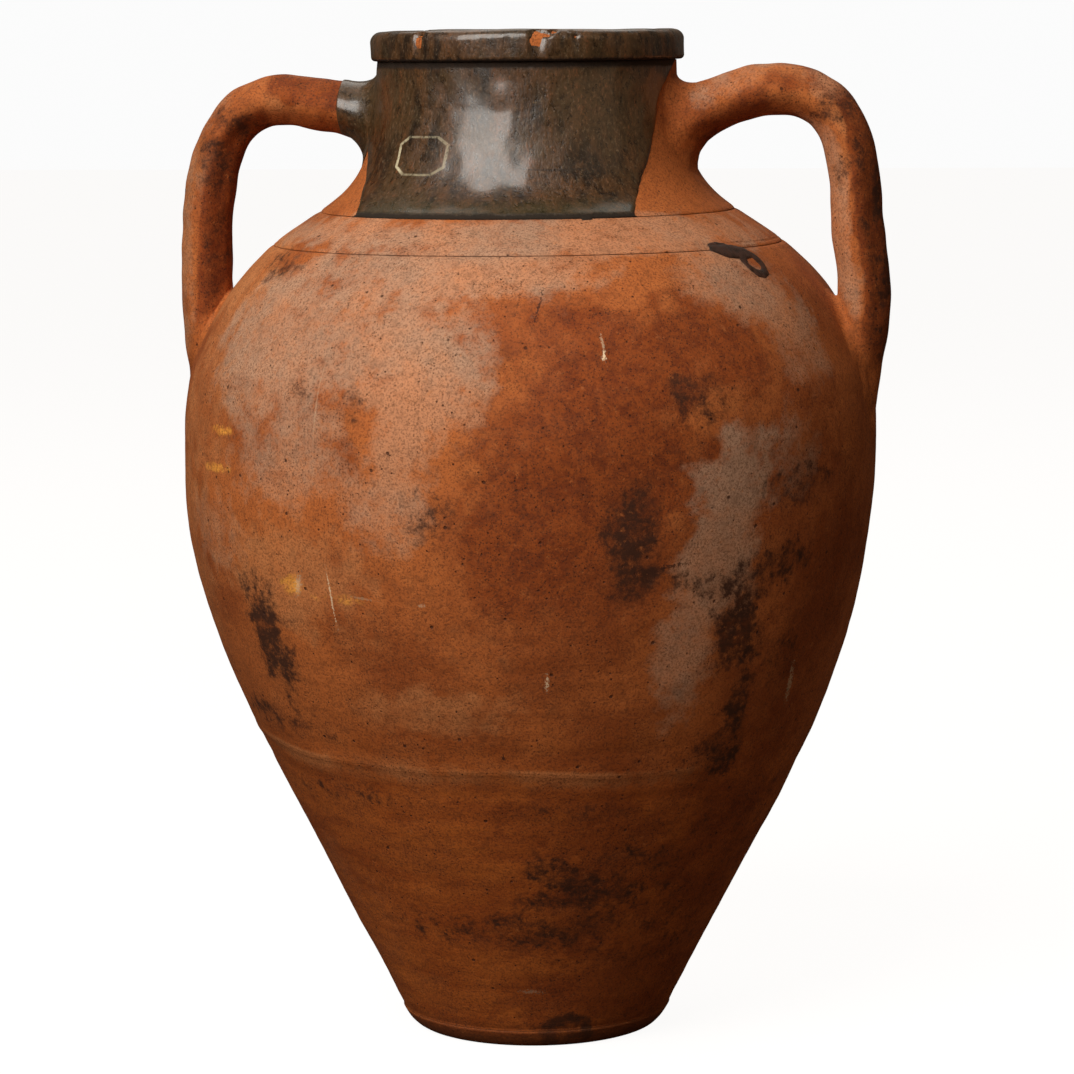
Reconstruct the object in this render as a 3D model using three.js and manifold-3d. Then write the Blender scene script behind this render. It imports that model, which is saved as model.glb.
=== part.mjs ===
// Amphora: a two-handled storage jar of fired clay with a dark glaze at the mouth.
// It is made of the pieces that a potter joins: a floor slab, wall sections, a shoulder, a neck
// and a rolled lip, the coils that seal the joins inside, two pulled handles, the wads of clay
// that hold them, and the coats of glaze.
// Millimetres, +Z up. The origin is the middle of the foot, on the ground. The handles lie along X
// and the glazed side of the neck faces -Y.

import * as THREE from 'three';
import { mergeVertices } from 'three/addons/utils/BufferGeometryUtils.js';
import Module from 'manifold-3d';

const wasm = await Module();
wasm.setup();

// Heights of the outline's stations
const jarHeight = 500;
const footEdgeHeight = 10;
const seamHeight = 150;
const bellyHeight = 285;
const haunchHeight = 352;
const shoulderLineHeight = 394.5;
const neckFootHeight = 410.5;
const neckBendHeight = 433;
const lipHeight = 16;

// Outer radii at those stations
const footRadius = 59.5;
const footEdgeRadius = 67.5;
const seamRadius = 138;
const bellyRadius = 172.5;
const haunchSetback = 11.5;
const shoulderLineRadius = 128;
const neckFootRadius = 103;
const neckRadius = 73.5;
const neckBendFlare = 8.6;
const lipOverhang = 4.2;

// Slopes of the outline there, in radius per height
const coneSlope = 0.49;
const seamSlope = 0.46;
const haunchSlope = -0.62;
const shoulderSlope = -1.33;
const neckFootSlope = -1.65;
const neckBendSlope = -0.38;

// Clay and glaze thicknesses, and the clearance between neighbouring pieces
const wallThickness = 8.5;
const floorThickness = 14;
const ledgeHeight = 9;
const lapLength = 7;
const coilRadius = 5;
const neckCoilDrop = 14;
const glazeThickness = 1;
const gap = 0.3;

// Lip
const lipOuterRound = 6;
const lipInnerRound = 4;
const lipFootRound = 2.5;
const lipGlazeReach = 9;

// Handles: each hangs its own way
const handleHalfThickness = 13;
const handleHalfWidth = 15;
const handleStandOff = 8.5;
const handles = {
  left: { side: -1, crownBelowRim: 34.5, rootDrop: 7, tailHeight: 305 },
  right: { side: 1, crownBelowRim: 30.5, rootDrop: 12, tailHeight: 298 },
};

// Bend of both handles: how far in from the upright's line, at a drop below the crown
const kneeInset = 16.5;
const kneeDrop = 8.5;
const uprightBend = [{ inset: 7, drop: 31 }, { inset: 3, drop: 64 }, { inset: 0, drop: 96 }];
const tailBend = [{ inset: 2.5, lift: 34 }, { inset: 9, lift: 10 }];

// Clay worked round the handle ends: reach from the wall, half-width and half-height
const neckWad = { reach: 15, halfWidth: 20, halfHeight: 19.5 };
const tailWad = { reach: 5, halfWidth: 21, halfHeight: 32, lift: 18 };

// Neck glaze: where the slanting sides of the bib stand, on the front view
const bibLeft = { topX: -82, sideHeight: 438, footX: -67 };
const bibRight = { topX: 72, footX: 65 };
const bibFootLift = 1.5;

// Splash on the shoulder: where it lies, and its loop and drop
const splash = { turn: 63.5, height: 387, loopWidth: 19, loopHeight: 14, holeShare: 0.5 };
const splashDrop = { offsetX: -11, offsetY: 6.5, halfWidth: 9, halfHeight: 4 };

// Fineness of round shapes, and of each wall section's outer face
const turnSteps = 32;
const sectionSteps = 6;
const handleSteps = 18;
const outerSteps = { lowerWall: 5, belly: 12, shoulder: 3, neck: 8 };

const lipFootHeight = jarHeight - lipHeight;
const lipRadius = neckRadius + lipOverhang;
const mouthRadius = neckRadius - wallThickness;
const ledgeRadius = footEdgeRadius - (footEdgeHeight - ledgeHeight) * coneSlope;

const clay = { color: 0xb5714a, roughness: 0.8, metalness: 0 };
const wornClay = { color: 0x9a5a33, roughness: 0.82, metalness: 0 };
const rawClay = { color: 0xa8704f, roughness: 0.9, metalness: 0 };
const glaze = { color: 0x4a3a2a, roughness: 0.25, metalness: 0 };

// Outline of the jar: height, radius and slope at each station
const stations = [
  [footEdgeHeight, footEdgeRadius, coneSlope],
  [seamHeight, seamRadius, seamSlope],
  [bellyHeight, bellyRadius, 0],
  [haunchHeight, bellyRadius - haunchSetback, haunchSlope],
  [shoulderLineHeight, shoulderLineRadius, shoulderSlope],
  [neckFootHeight, neckFootRadius, neckFootSlope],
  [neckBendHeight, neckRadius + neckBendFlare, neckBendSlope],
  [lipFootHeight, neckRadius, 0],
];

// Outer radius at a height: cubic stretches between the stations
function radiusAt(height) {
  const last = stations.length - 2;
  let i = 0;
  while (i < last && height > stations[i + 1][0]) i += 1;
  const [z0, r0, slope0] = stations[i];
  const [z1, r1, slope1] = stations[i + 1];
  const span = z1 - z0;
  const s = (height - z0) / span;
  const rise = s * s * (3 - 2 * s);
  const bend0 = s * (1 - s) * (1 - s) * slope0 * span;
  const bend1 = s * s * (s - 1) * slope1 * span;
  return r0 + (r1 - r0) * rise + bend0 + bend1;
}

function slopeAt(height) {
  const step = 0.5;
  return (radiusAt(height + step) - radiusAt(height - step)) / (2 * step);
}

// Point at a depth below the outer surface, square to it
function wallPoint(height, depth) {
  const slope = slopeAt(height);
  const length = Math.hypot(1, slope);
  return new THREE.Vector2(radiusAt(height) - depth / length, height + (depth * slope) / length);
}

// Points along the wall at one depth, from one height to another
function wallRun(from, to, depth, steps) {
  const points = [];
  for (let i = 0; i <= steps; i += 1) {
    points.push(wallPoint(from + ((to - from) * i) / steps, depth));
  }
  return points;
}

// Solid of revolution about Z, from a profile that closes on itself or on the axis
function turned(profile) {
  return new THREE.LatheGeometry(profile, turnSteps).rotateX(Math.PI / 2);
}

// Heights of a lap joint's inner edge: the upper piece's tongue hangs inside the lower piece
function lapInner(joint) {
  return joint - lapLength;
}

// Wall section: a tongue hangs below its foot, and its top may end in a collar for the next tongue
function wallSection(from, to, steps, innerSteps, collarAbove) {
  const middle = wallThickness / 2;
  const profile = wallRun(from, to, 0, steps);
  profile[0] = wallPoint(from + gap, 0);
  if (collarAbove) {
    profile.push(wallPoint(to, middle - gap));
    profile.push(wallPoint(lapInner(to), middle - gap));
    profile.push(...wallRun(lapInner(to), from, wallThickness, innerSteps));
  } else {
    profile.push(...wallRun(to, from, wallThickness, innerSteps));
  }
  profile.push(wallPoint(lapInner(from) + gap, wallThickness));
  profile.push(wallPoint(lapInner(from) + gap, middle));
  profile.push(wallPoint(from + gap, middle));
  profile.push(profile[0].clone());
  return turned(profile);
}

function triangles(geometry) {
  const bare = geometry.clone();
  bare.deleteAttribute('normal');
  bare.deleteAttribute('uv');
  const merged = mergeVertices(bare, 1e-4);
  const kept = [];
  const index = merged.index.array;
  for (let i = 0; i < index.length; i += 3) {
    const [a, b, c] = [index[i], index[i + 1], index[i + 2]];
    if (a !== b && b !== c && c !== a) kept.push(a, b, c);
  }
  return { positions: merged.attributes.position.array, kept };
}

// Solid for cutting and joining
function solidOf(geometry) {
  const { positions, kept } = triangles(geometry);
  const mesh = new wasm.Mesh({
    numProp: 3,
    vertProperties: positions,
    triVerts: new Uint32Array(kept),
  });
  return new wasm.Manifold(mesh);
}

function geometryOf(solid) {
  const mesh = solid.getMesh();
  const geometry = new THREE.BufferGeometry();
  geometry.setAttribute('position', new THREE.BufferAttribute(mesh.vertProperties, 3));
  geometry.setIndex(new THREE.BufferAttribute(mesh.triVerts, 1));
  return geometry;
}

// Everything within a distance of the jar's body, solid to the axis
function bodySolid(margin) {
  const profile = [new THREE.Vector2(0, -1), new THREE.Vector2(footEdgeRadius, -1)];
  profile.push(...wallRun(footEdgeHeight + 1, seamHeight, -margin, outerSteps.lowerWall));
  profile.push(...wallRun(seamHeight, shoulderLineHeight, -margin, outerSteps.belly));
  profile.push(...wallRun(shoulderLineHeight, neckFootHeight, -margin, outerSteps.shoulder));
  profile.push(...wallRun(neckFootHeight, lipFootHeight, -margin, outerSteps.neck));
  profile.push(new THREE.Vector2(lipRadius + margin, lipFootHeight - margin));
  profile.push(new THREE.Vector2(lipRadius + margin, jarHeight + 1));
  profile.push(new THREE.Vector2(0, jarHeight + 1));
  return solidOf(turned(profile));
}

// Round corner: points on an arc from one angle to another
function corner(x, z, radius, fromAngle, toAngle, steps) {
  const points = [];
  for (let i = 0; i <= steps; i += 1) {
    const angle = fromAngle + ((toAngle - fromAngle) * i) / steps;
    points.push(new THREE.Vector2(x + radius * Math.cos(angle), z + radius * Math.sin(angle)));
  }
  return points;
}

// Floor slab: the rounded foot edge outside, a ledge for the wall, and the floor inside
function floorSlab() {
  const bossRadius = wallPoint(footEdgeHeight, wallThickness).x - 2 * gap;
  const edgeCurve = new THREE.QuadraticBezierCurve(
    new THREE.Vector2(footRadius, 0),
    new THREE.Vector2((footRadius + ledgeRadius) / 2, 0),
    new THREE.Vector2(ledgeRadius, ledgeHeight),
  );
  return turned([
    new THREE.Vector2(0, 0),
    ...edgeCurve.getPoints(4),
    new THREE.Vector2(bossRadius, ledgeHeight),
    new THREE.Vector2(bossRadius, floorThickness),
    new THREE.Vector2(0, floorThickness),
  ]);
}

// Inside face of the lower wall's foot: from the slab's ledge up to where the wall runs even
function wallFootInside() {
  const foot = wallPoint(footEdgeHeight, wallThickness);
  foot.y = ledgeHeight + gap;
  return [foot, wallPoint(floorThickness + wallThickness, wallThickness)];
}

// Lower wall: stands on the slab's ledge and ends in the collar of the wavy seam
function lowerWall() {
  const middle = wallThickness / 2;
  const profile = [
    new THREE.Vector2(ledgeRadius, ledgeHeight + gap),
    ...wallRun(footEdgeHeight + 1, seamHeight, 0, outerSteps.lowerWall),
    wallPoint(seamHeight, middle - gap),
    wallPoint(lapInner(seamHeight), middle - gap),
    ...wallRun(lapInner(seamHeight), floorThickness + wallThickness, wallThickness, 4),
    wallFootInside()[0],
  ];
  profile.push(profile[0].clone());
  return turned(profile);
}

// Coil of clay smeared along the inside of the wall
function wallCoil(height) {
  const touch = wallPoint(height, wallThickness + 2 * gap);
  const inward = wallPoint(height, wallThickness + 2 * gap + 1).sub(touch);
  const along = new THREE.Vector2(-inward.y, inward.x);
  const steps = 6;
  const profile = [];
  for (let i = steps; i >= 0; i -= 1) {
    const angle = (Math.PI * i) / steps;
    const point = touch.clone();
    point.addScaledVector(along, coilRadius * Math.cos(angle));
    point.addScaledVector(inward, coilRadius * Math.sin(angle) * 0.8);
    profile.push(point);
  }
  profile.push(profile[0].clone());
  return turned(profile);
}

// Coil in the corner of floor and wall, following the wall's slant
function floorCoil() {
  const [low, high] = wallFootInside();
  const onWall = (height) => {
    const share = (height - low.y) / (high.y - low.y);
    return new THREE.Vector2(low.x + (high.x - low.x) * share - 2 * gap, height);
  };
  const heel = onWall(floorThickness + gap);
  const profile = [
    new THREE.Vector2(heel.x - 2 * coilRadius, heel.y),
    heel,
    onWall(floorThickness + 2 * coilRadius),
    new THREE.Vector2(heel.x - coilRadius, floorThickness + coilRadius),
  ];
  profile.push(profile[0].clone());
  return turned(profile);
}

// Face of the lip at an inset: up the inside, over the top and down the outside
function lipFace(inset) {
  const innerRound = [mouthRadius + lipInnerRound, jarHeight - lipInnerRound, lipInnerRound - inset];
  const outerRound = [lipRadius - lipOuterRound, jarHeight - lipOuterRound, lipOuterRound - inset];
  return [
    new THREE.Vector2(mouthRadius + inset, jarHeight - lipGlazeReach),
    ...corner(...innerRound, Math.PI, Math.PI / 2, 2),
    ...corner(...outerRound, Math.PI / 2, 0, 3),
    new THREE.Vector2(lipRadius - inset, lipFootHeight + lipFootRound),
  ];
}

function lip() {
  const inset = glazeThickness + gap;
  const profile = [
    ...lipFace(inset),
    new THREE.Vector2(lipRadius - inset - lipFootRound, lipFootHeight + gap),
    new THREE.Vector2(mouthRadius + inset, lipFootHeight + gap),
  ];
  profile.push(profile[0].clone());
  return turned(profile.reverse());
}

function lipGlaze() {
  const profile = [...lipFace(0), ...lipFace(glazeThickness).reverse()];
  profile.push(profile[0].clone());
  return turned(profile.reverse());
}

// Centre line of a handle, from inside the neck wall to inside the belly wall
function handlePath(handle) {
  const crownHeight = jarHeight - handle.crownBelowRim;
  const rootHeight = crownHeight - handle.rootDrop;
  const outerX = bellyRadius + handleStandOff - handleHalfThickness;
  const neckX = radiusAt(rootHeight);
  const armX = (neckX + outerX) / 2;
  const tailX = radiusAt(handle.tailHeight);
  const points = [
    [neckX - wallThickness, rootHeight - 1],
    [(neckX + armX) / 2, crownHeight - handle.rootDrop / 2],
    [armX, crownHeight],
    [outerX - kneeInset, crownHeight - kneeDrop],
    ...uprightBend.map(({ inset, drop }) => [outerX - inset, crownHeight - drop]),
    ...tailBend.map(({ inset, lift }) => [outerX - inset, handle.tailHeight + lift]),
    [tailX - 2 * wallThickness, handle.tailHeight - wallThickness],
  ];
  return new THREE.CatmullRomCurve3(
    points.map(([x, z]) => new THREE.Vector3(handle.side * x, 0, z)),
    false,
    'centripetal',
  );
}

function handleSolid(handle, margin) {
  const section = new THREE.Shape();
  const halfWidth = handleHalfWidth + margin;
  const halfThickness = handleHalfThickness + margin;
  section.absellipse(0, 0, halfWidth, halfThickness, 0, 2 * Math.PI);
  return solidOf(new THREE.ExtrudeGeometry(section, {
    steps: handleSteps,
    curveSegments: sectionSteps,
    extrudePath: handlePath(handle),
  }));
}

// Lump of clay centred on the wall, tilted with it
function wadSolid(side, height, size, margin) {
  const lump = new THREE.SphereGeometry(1, 16, 10);
  lump.scale(size.reach + margin, size.halfWidth + margin, size.halfHeight + margin);
  lump.rotateY(side * Math.atan(slopeAt(height)));
  lump.translate(side * radiusAt(height), 0, height);
  return solidOf(lump);
}

function neckWadHeight(handle) {
  return jarHeight - handle.crownBelowRim - handle.rootDrop;
}

const body = bodySolid(gap);

function cutHandle(handle) {
  return geometryOf(handleSolid(handle, 0).subtract(body));
}

function cutWad(handle, height, size) {
  const lump = wadSolid(handle.side, height, size, 0);
  return geometryOf(lump.subtract(body).subtract(handleSolid(handle, gap)));
}

// Straight prism along Y from an outline on the front view
function frontPrism(outline, nearY, farY) {
  const shape = new THREE.Shape(outline.map(([x, z]) => new THREE.Vector2(x, z)));
  const prism = new THREE.ExtrudeGeometry(shape, { depth: farY - nearY, bevelEnabled: false });
  return solidOf(prism.rotateX(Math.PI / 2).translate(0, farY, 0));
}

// Glaze on the front of the neck: a thin coat with slanting sides, clear of the handle roots
function neckGlaze() {
  const profile = [
    ...wallRun(neckFootHeight, lipFootHeight, -gap - glazeThickness, outerSteps.neck),
    ...wallRun(lipFootHeight, neckFootHeight, -gap, outerSteps.neck),
  ];
  profile.push(profile[0].clone());
  const coat = solidOf(turned(profile));
  const footHeight = neckFootHeight + bibFootLift;
  const topHeight = lipFootHeight - 2 * gap;
  const outline = [
    [bibLeft.topX, topHeight],
    [bibLeft.topX, bibLeft.sideHeight],
    [bibLeft.footX, footHeight],
    [bibRight.footX, footHeight],
    [bibRight.topX, topHeight],
  ];
  const clearOfHandles = -(neckWad.halfWidth + glazeThickness + 2 * gap);
  const bib = frontPrism(outline, -2 * neckFootRadius, clearOfHandles);
  return geometryOf(coat.intersect(bib));
}

// Glaze over the front half of the left handle's root
function handleRootGlaze() {
  const handle = handles.left;
  const height = neckWadHeight(handle);
  const outer = wadSolid(handle.side, height, neckWad, gap + glazeThickness);
  const inner = wadSolid(handle.side, height, neckWad, gap);
  const coat = outer.subtract(inner).subtract(body).subtract(handleSolid(handle, gap));
  const front = new THREE.BoxGeometry(2 * bellyRadius, bellyRadius, 2 * jarHeight);
  front.translate(0, -bellyRadius / 2 - gap, 0);
  return geometryOf(coat.intersect(solidOf(front)));
}

// Drop and loop of glaze on the shoulder
function shoulderSplash() {
  const loop = new THREE.Shape();
  loop.absellipse(0, 0, splash.loopWidth / 2, splash.loopHeight / 2, 0, 2 * Math.PI);
  const hole = new THREE.Path();
  const holeX = (splash.loopWidth / 2) * splash.holeShare;
  const holeY = (splash.loopHeight / 2) * splash.holeShare;
  hole.absellipse(0, 0, holeX, holeY, 0, 2 * Math.PI, true);
  loop.holes.push(hole);
  const drop = new THREE.Shape();
  const { offsetX, offsetY, halfWidth, halfHeight } = splashDrop;
  drop.absellipse(offsetX, offsetY, halfWidth, halfHeight, 0, 2 * Math.PI);
  const depth = 2 * wallThickness;
  const settle = (shape) => {
    const prism = new THREE.ExtrudeGeometry(shape, { depth, bevelEnabled: false, curveSegments: 8 });
    prism.translate(0, 0, -depth / 2);
    prism.rotateX(Math.PI / 2 + Math.atan(slopeAt(splash.height)));
    prism.translate(0, -radiusAt(splash.height), splash.height);
    return solidOf(prism.rotateZ(THREE.MathUtils.degToRad(splash.turn)));
  };
  const coat = bodySolid(gap + glazeThickness).subtract(body);
  return geometryOf(settle(loop).add(settle(drop)).intersect(coat));
}

const amphora = new THREE.Group();

function addPiece(name, geometry, finish) {
  const mesh = new THREE.Mesh(geometry, new THREE.MeshStandardMaterial(finish));
  mesh.name = name;
  amphora.add(mesh);
}

addPiece('floor_slab', floorSlab(), wornClay);
addPiece('floor_coil', floorCoil(), rawClay);
addPiece('lower_wall', lowerWall(), wornClay);
addPiece('seam_coil', wallCoil(lapInner(seamHeight)), rawClay);
addPiece('belly_wall', wallSection(seamHeight, shoulderLineHeight, outerSteps.belly, 10, true), clay);
addPiece('shoulder', wallSection(shoulderLineHeight, neckFootHeight, outerSteps.shoulder, 3, true), clay);
addPiece('neck_coil', wallCoil(neckFootHeight - neckCoilDrop), rawClay);
addPiece('neck', wallSection(neckFootHeight, lipFootHeight, outerSteps.neck, 6, false), clay);
addPiece('lip', lip(), clay);
addPiece('lip_glaze', lipGlaze(), glaze);
addPiece('neck_glaze', neckGlaze(), glaze);
addPiece('handle_root_glaze', handleRootGlaze(), glaze);
addPiece('shoulder_glaze_splash', shoulderSplash(), glaze);
for (const [name, handle] of Object.entries(handles)) {
  addPiece(`handle_${name}`, cutHandle(handle), clay);
  addPiece(`handle_${name}_neck_wad`, cutWad(handle, neckWadHeight(handle), neckWad), clay);
  addPiece(`handle_${name}_tail_wad`, cutWad(handle, handle.tailHeight + tailWad.lift, tailWad), clay);
}

export default amphora;
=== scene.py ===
import math

import bmesh
import bpy
import numpy as np
from mathutils import Matrix, Vector
from mathutils.bvhtree import BVHTree


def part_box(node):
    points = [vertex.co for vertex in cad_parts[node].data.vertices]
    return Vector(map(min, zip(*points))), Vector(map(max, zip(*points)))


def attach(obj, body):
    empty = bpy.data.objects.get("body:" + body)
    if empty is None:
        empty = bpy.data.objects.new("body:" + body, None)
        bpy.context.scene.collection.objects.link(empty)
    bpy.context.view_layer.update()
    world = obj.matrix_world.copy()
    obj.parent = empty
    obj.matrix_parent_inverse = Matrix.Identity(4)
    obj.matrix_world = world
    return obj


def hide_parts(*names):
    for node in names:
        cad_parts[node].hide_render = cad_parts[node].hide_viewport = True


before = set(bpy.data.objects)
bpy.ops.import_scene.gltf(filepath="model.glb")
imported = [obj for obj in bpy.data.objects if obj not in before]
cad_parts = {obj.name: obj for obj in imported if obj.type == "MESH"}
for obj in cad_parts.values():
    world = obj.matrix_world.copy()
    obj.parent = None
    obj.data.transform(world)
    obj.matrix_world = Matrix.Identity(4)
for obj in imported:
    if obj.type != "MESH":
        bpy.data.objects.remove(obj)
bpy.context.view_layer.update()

mm = 0.001
scene = bpy.context.scene


# Angles run round the jar in degrees: 0 faces -Y, the glazed side, and 90 faces +X, the right handle.
# Heights, radii and sizes along the wall are in millimetres until a piece is placed.

def smoothStep(low, high, value):
    t = np.clip((value - low) / (high - low), 0, 1)
    return t * t * (3 - 2 * t)


def waves(seed, length, count=26):
    # Slow, uneven swell of hand-worked clay: plane waves of about one length, added up
    rng = np.random.default_rng(seed)
    turns = rng.normal(size=(count, 3))
    turns /= np.linalg.norm(turns, axis=1)[:, None]
    turns *= 2 * math.pi / (length * rng.uniform(0.7, 1.6, count))[:, None]
    phases = rng.uniform(0, 2 * math.pi, count)

    def swell(points):
        return np.sin(points @ turns.T + phases).sum(axis=1) / math.sqrt(count / 2)

    return swell


bigSwell = waves(3, 150)
handSwell = waves(5, 42)
fingerSwell = waves(7, 14)
grainSwell = waves(11, 5)


# Outline of the jar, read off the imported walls

outline = {
    "walls": ("lower_wall", "belly_wall", "shoulder", "neck"),
    "step": 4,          # spacing of the heights that are read
    "evening": 3,       # passes that even out the facets
    "facet": 0.2,       # degrees beside -Y, so that a ray meets one face
}


def readOutline():
    corners = []
    faces = []
    for name in outline["walls"]:
        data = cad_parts[name].data
        start = len(corners)
        corners += [v.co.copy() for v in data.vertices]
        faces += [[start + i for i in p.vertices] for p in data.polygons]
    tree = BVHTree.FromPolygons(corners, faces)
    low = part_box("lower_wall")[0].z / mm + 1
    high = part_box("neck")[1].z / mm - 0.5
    heights = np.linspace(low, high, round((high - low) / outline["step"]) + 1)
    turn = math.radians(outline["facet"])
    outward = Vector((math.sin(turn), -math.cos(turn), 0))
    radii = []
    for height in heights:
        hit = tree.ray_cast(outward + Vector((0, 0, height * mm)), -outward)[0]
        radii.append(hit.xy.length / mm)
    radii = np.array(radii)
    for _ in range(outline["evening"]):
        radii[1:-1] = (radii[:-2] + 2 * radii[1:-1] + radii[2:]) / 4
    return heights, radii


outlineHeights, outlineRadii = readOutline()
outlineSlopes = np.gradient(outlineRadii, outlineHeights)


def wallRadius(height):
    height = np.clip(height, outlineHeights[0], outlineHeights[-1])
    i = np.clip(np.searchsorted(outlineHeights, height) - 1, 0, len(outlineHeights) - 2)
    span = outlineHeights[i + 1] - outlineHeights[i]
    t = (height - outlineHeights[i]) / span
    rise = outlineRadii[i] + (outlineRadii[i + 1] - outlineRadii[i]) * t * t * (3 - 2 * t)
    rise += t * (1 - t) ** 2 * outlineSlopes[i] * span
    return rise + t * t * (t - 1) * outlineSlopes[i + 1] * span


# Joins and sizes that several pieces share

jar = {
    "seam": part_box("lower_wall")[1].z / mm - 1.7,
    "shoulderLine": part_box("belly_wall")[1].z / mm,
    "neckLine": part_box("shoulder")[1].z / mm,
    "lipFoot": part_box("neck")[1].z / mm,
    "wall": 8.5,
    "joint": 0.15,       # half the gap between two wall sections
    "steps": 300,        # faces round a wall
}


def ripple(angle, waves):
    # Waves that go round the jar: size, number of crests and start
    t = np.radians(angle)
    return sum(size * np.sin(count * t + start) for size, count, start in waves)


seam = {
    "above": 2.6,        # middle of the seam, above the join
    "waves": ((-3.4, 1, 0.35), (0.8, 5, 1.1), (0.4, 11, 0)),
    "clearest": -30,     # angle where the ridge stands out most
    "faint": 0.25,       # share of the ridge that is left on the far side
}


def seamHeight(angle):
    # The seam climbs towards the left and is gone over by hand
    return jar["seam"] + seam["above"] + ripple(angle, seam["waves"])


def seamStrength(angle):
    # The ridge stands out on the left and is smoothed away towards the right
    near = 0.5 + 0.5 * np.cos(np.radians(angle - seam["clearest"]))
    return seam["faint"] + (1 - seam["faint"]) * smoothStep(0.35, 0.9, near)


def place(angle, radius, height):
    t = np.radians(angle)
    return np.stack([radius * np.sin(t), -radius * np.cos(t), height + 0 * t], axis=-1)


def polar(points):
    # Angle round the jar, and distance from its axis
    return np.degrees(np.arctan2(points[:, 0], -points[:, 1])), np.hypot(points[:, 0], points[:, 1])


hand = {
    "swell": (0.28, 0.13, 0.05),      # of the whole hand, of the palm and of the fingers
    "rings": ((0.035, 2.3, 1), (0.03, 1.27, 1.7)),   # throwing rings: height, spacing and drift
    "band": (0.12, 198, 3.5),         # one raised band: how far, at what height, half its width
    "lowerBody": (150, 260),          # below this the rings are strong, above it they are smoothed
    "ridge": (0.7, 5, 2.4),           # ridge of the seam: how far, and its reach above and below
    "drag": (0.22, 13, 3),            # furrow below the seam: depth, distance and reach
    "calm": (-6, 25, 0.55),           # from just below the neck line upwards the swell loses this share
    "inside": (0.35, 4.3),            # finger rings inside: height and spacing
}


def swellAt(angle, height):
    # How far the worked surface stands off the true outline
    points = place(angle, wallRadius(height), height)
    wide, palm, finger = hand["swell"]
    swell = wide * bigSwell(points) + palm * handSwell(points) + finger * fingerSwell(points)
    drift = 2.2 * np.sin(height / 41 + 0.6) + 1.5 * np.sin(np.radians(angle) + height / 60)
    rings = sum(size * np.sin(height / spacing + share * drift) for size, spacing, share in hand["rings"])
    size, centre, halfWidth = hand["band"]
    rings += size * np.exp(-((height - centre) / halfWidth) ** 2)
    lowerBody = 1 - smoothStep(*hand["lowerBody"], height)
    start, end, lost = hand["calm"]
    calm = 1 - lost * smoothStep(jar["neckLine"] + start, jar["neckLine"] + end, height)
    above = height - seamHeight(angle)
    size, over, under = hand["ridge"]
    lap = size * np.where(above > 0, np.exp(-np.abs(above) / over), np.exp(-(above / under) ** 2))
    lap *= seamStrength(angle)
    depth, below, reach = hand["drag"]
    drag = -depth * np.exp(-((above + below) / reach) ** 2)
    return swell * calm + rings * (0.35 + 0.65 * lowerBody) + lap + drag


groove = {"above": 2.2, "wander": ((0.5, 2, math.radians(40)),), "depth": 0.45, "halfWidth": 0.45}


def surfaceOffset(angle, height):
    # The swell, and the second incised line, which wanders just above the join at the shoulder
    line = jar["shoulderLine"] + groove["above"] + ripple(angle, groove["wander"])
    cut = groove["depth"] * np.exp(-((height - line) / groove["halfWidth"]) ** 2)
    return swellAt(angle, height) - cut


def surfaceRadius(angle, height):
    return wallRadius(height) + surfaceOffset(angle, height)


outOfTrue = [(-1.3, 238, 48), (1.6, 128, 55), (-1.2, 405, 18)]   # shift along X, its height and reach


def lean(points):
    # The thrown body is a little out of true: the belly to the left, the cone to the right
    for shift, centre, reach in outOfTrue:
        points[:, 0] += shift * np.exp(-((points[:, 2] - centre) / reach) ** 2)
    return points


# Marks on the clay: angle, height, half-width, half-height, tilt and strength

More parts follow.
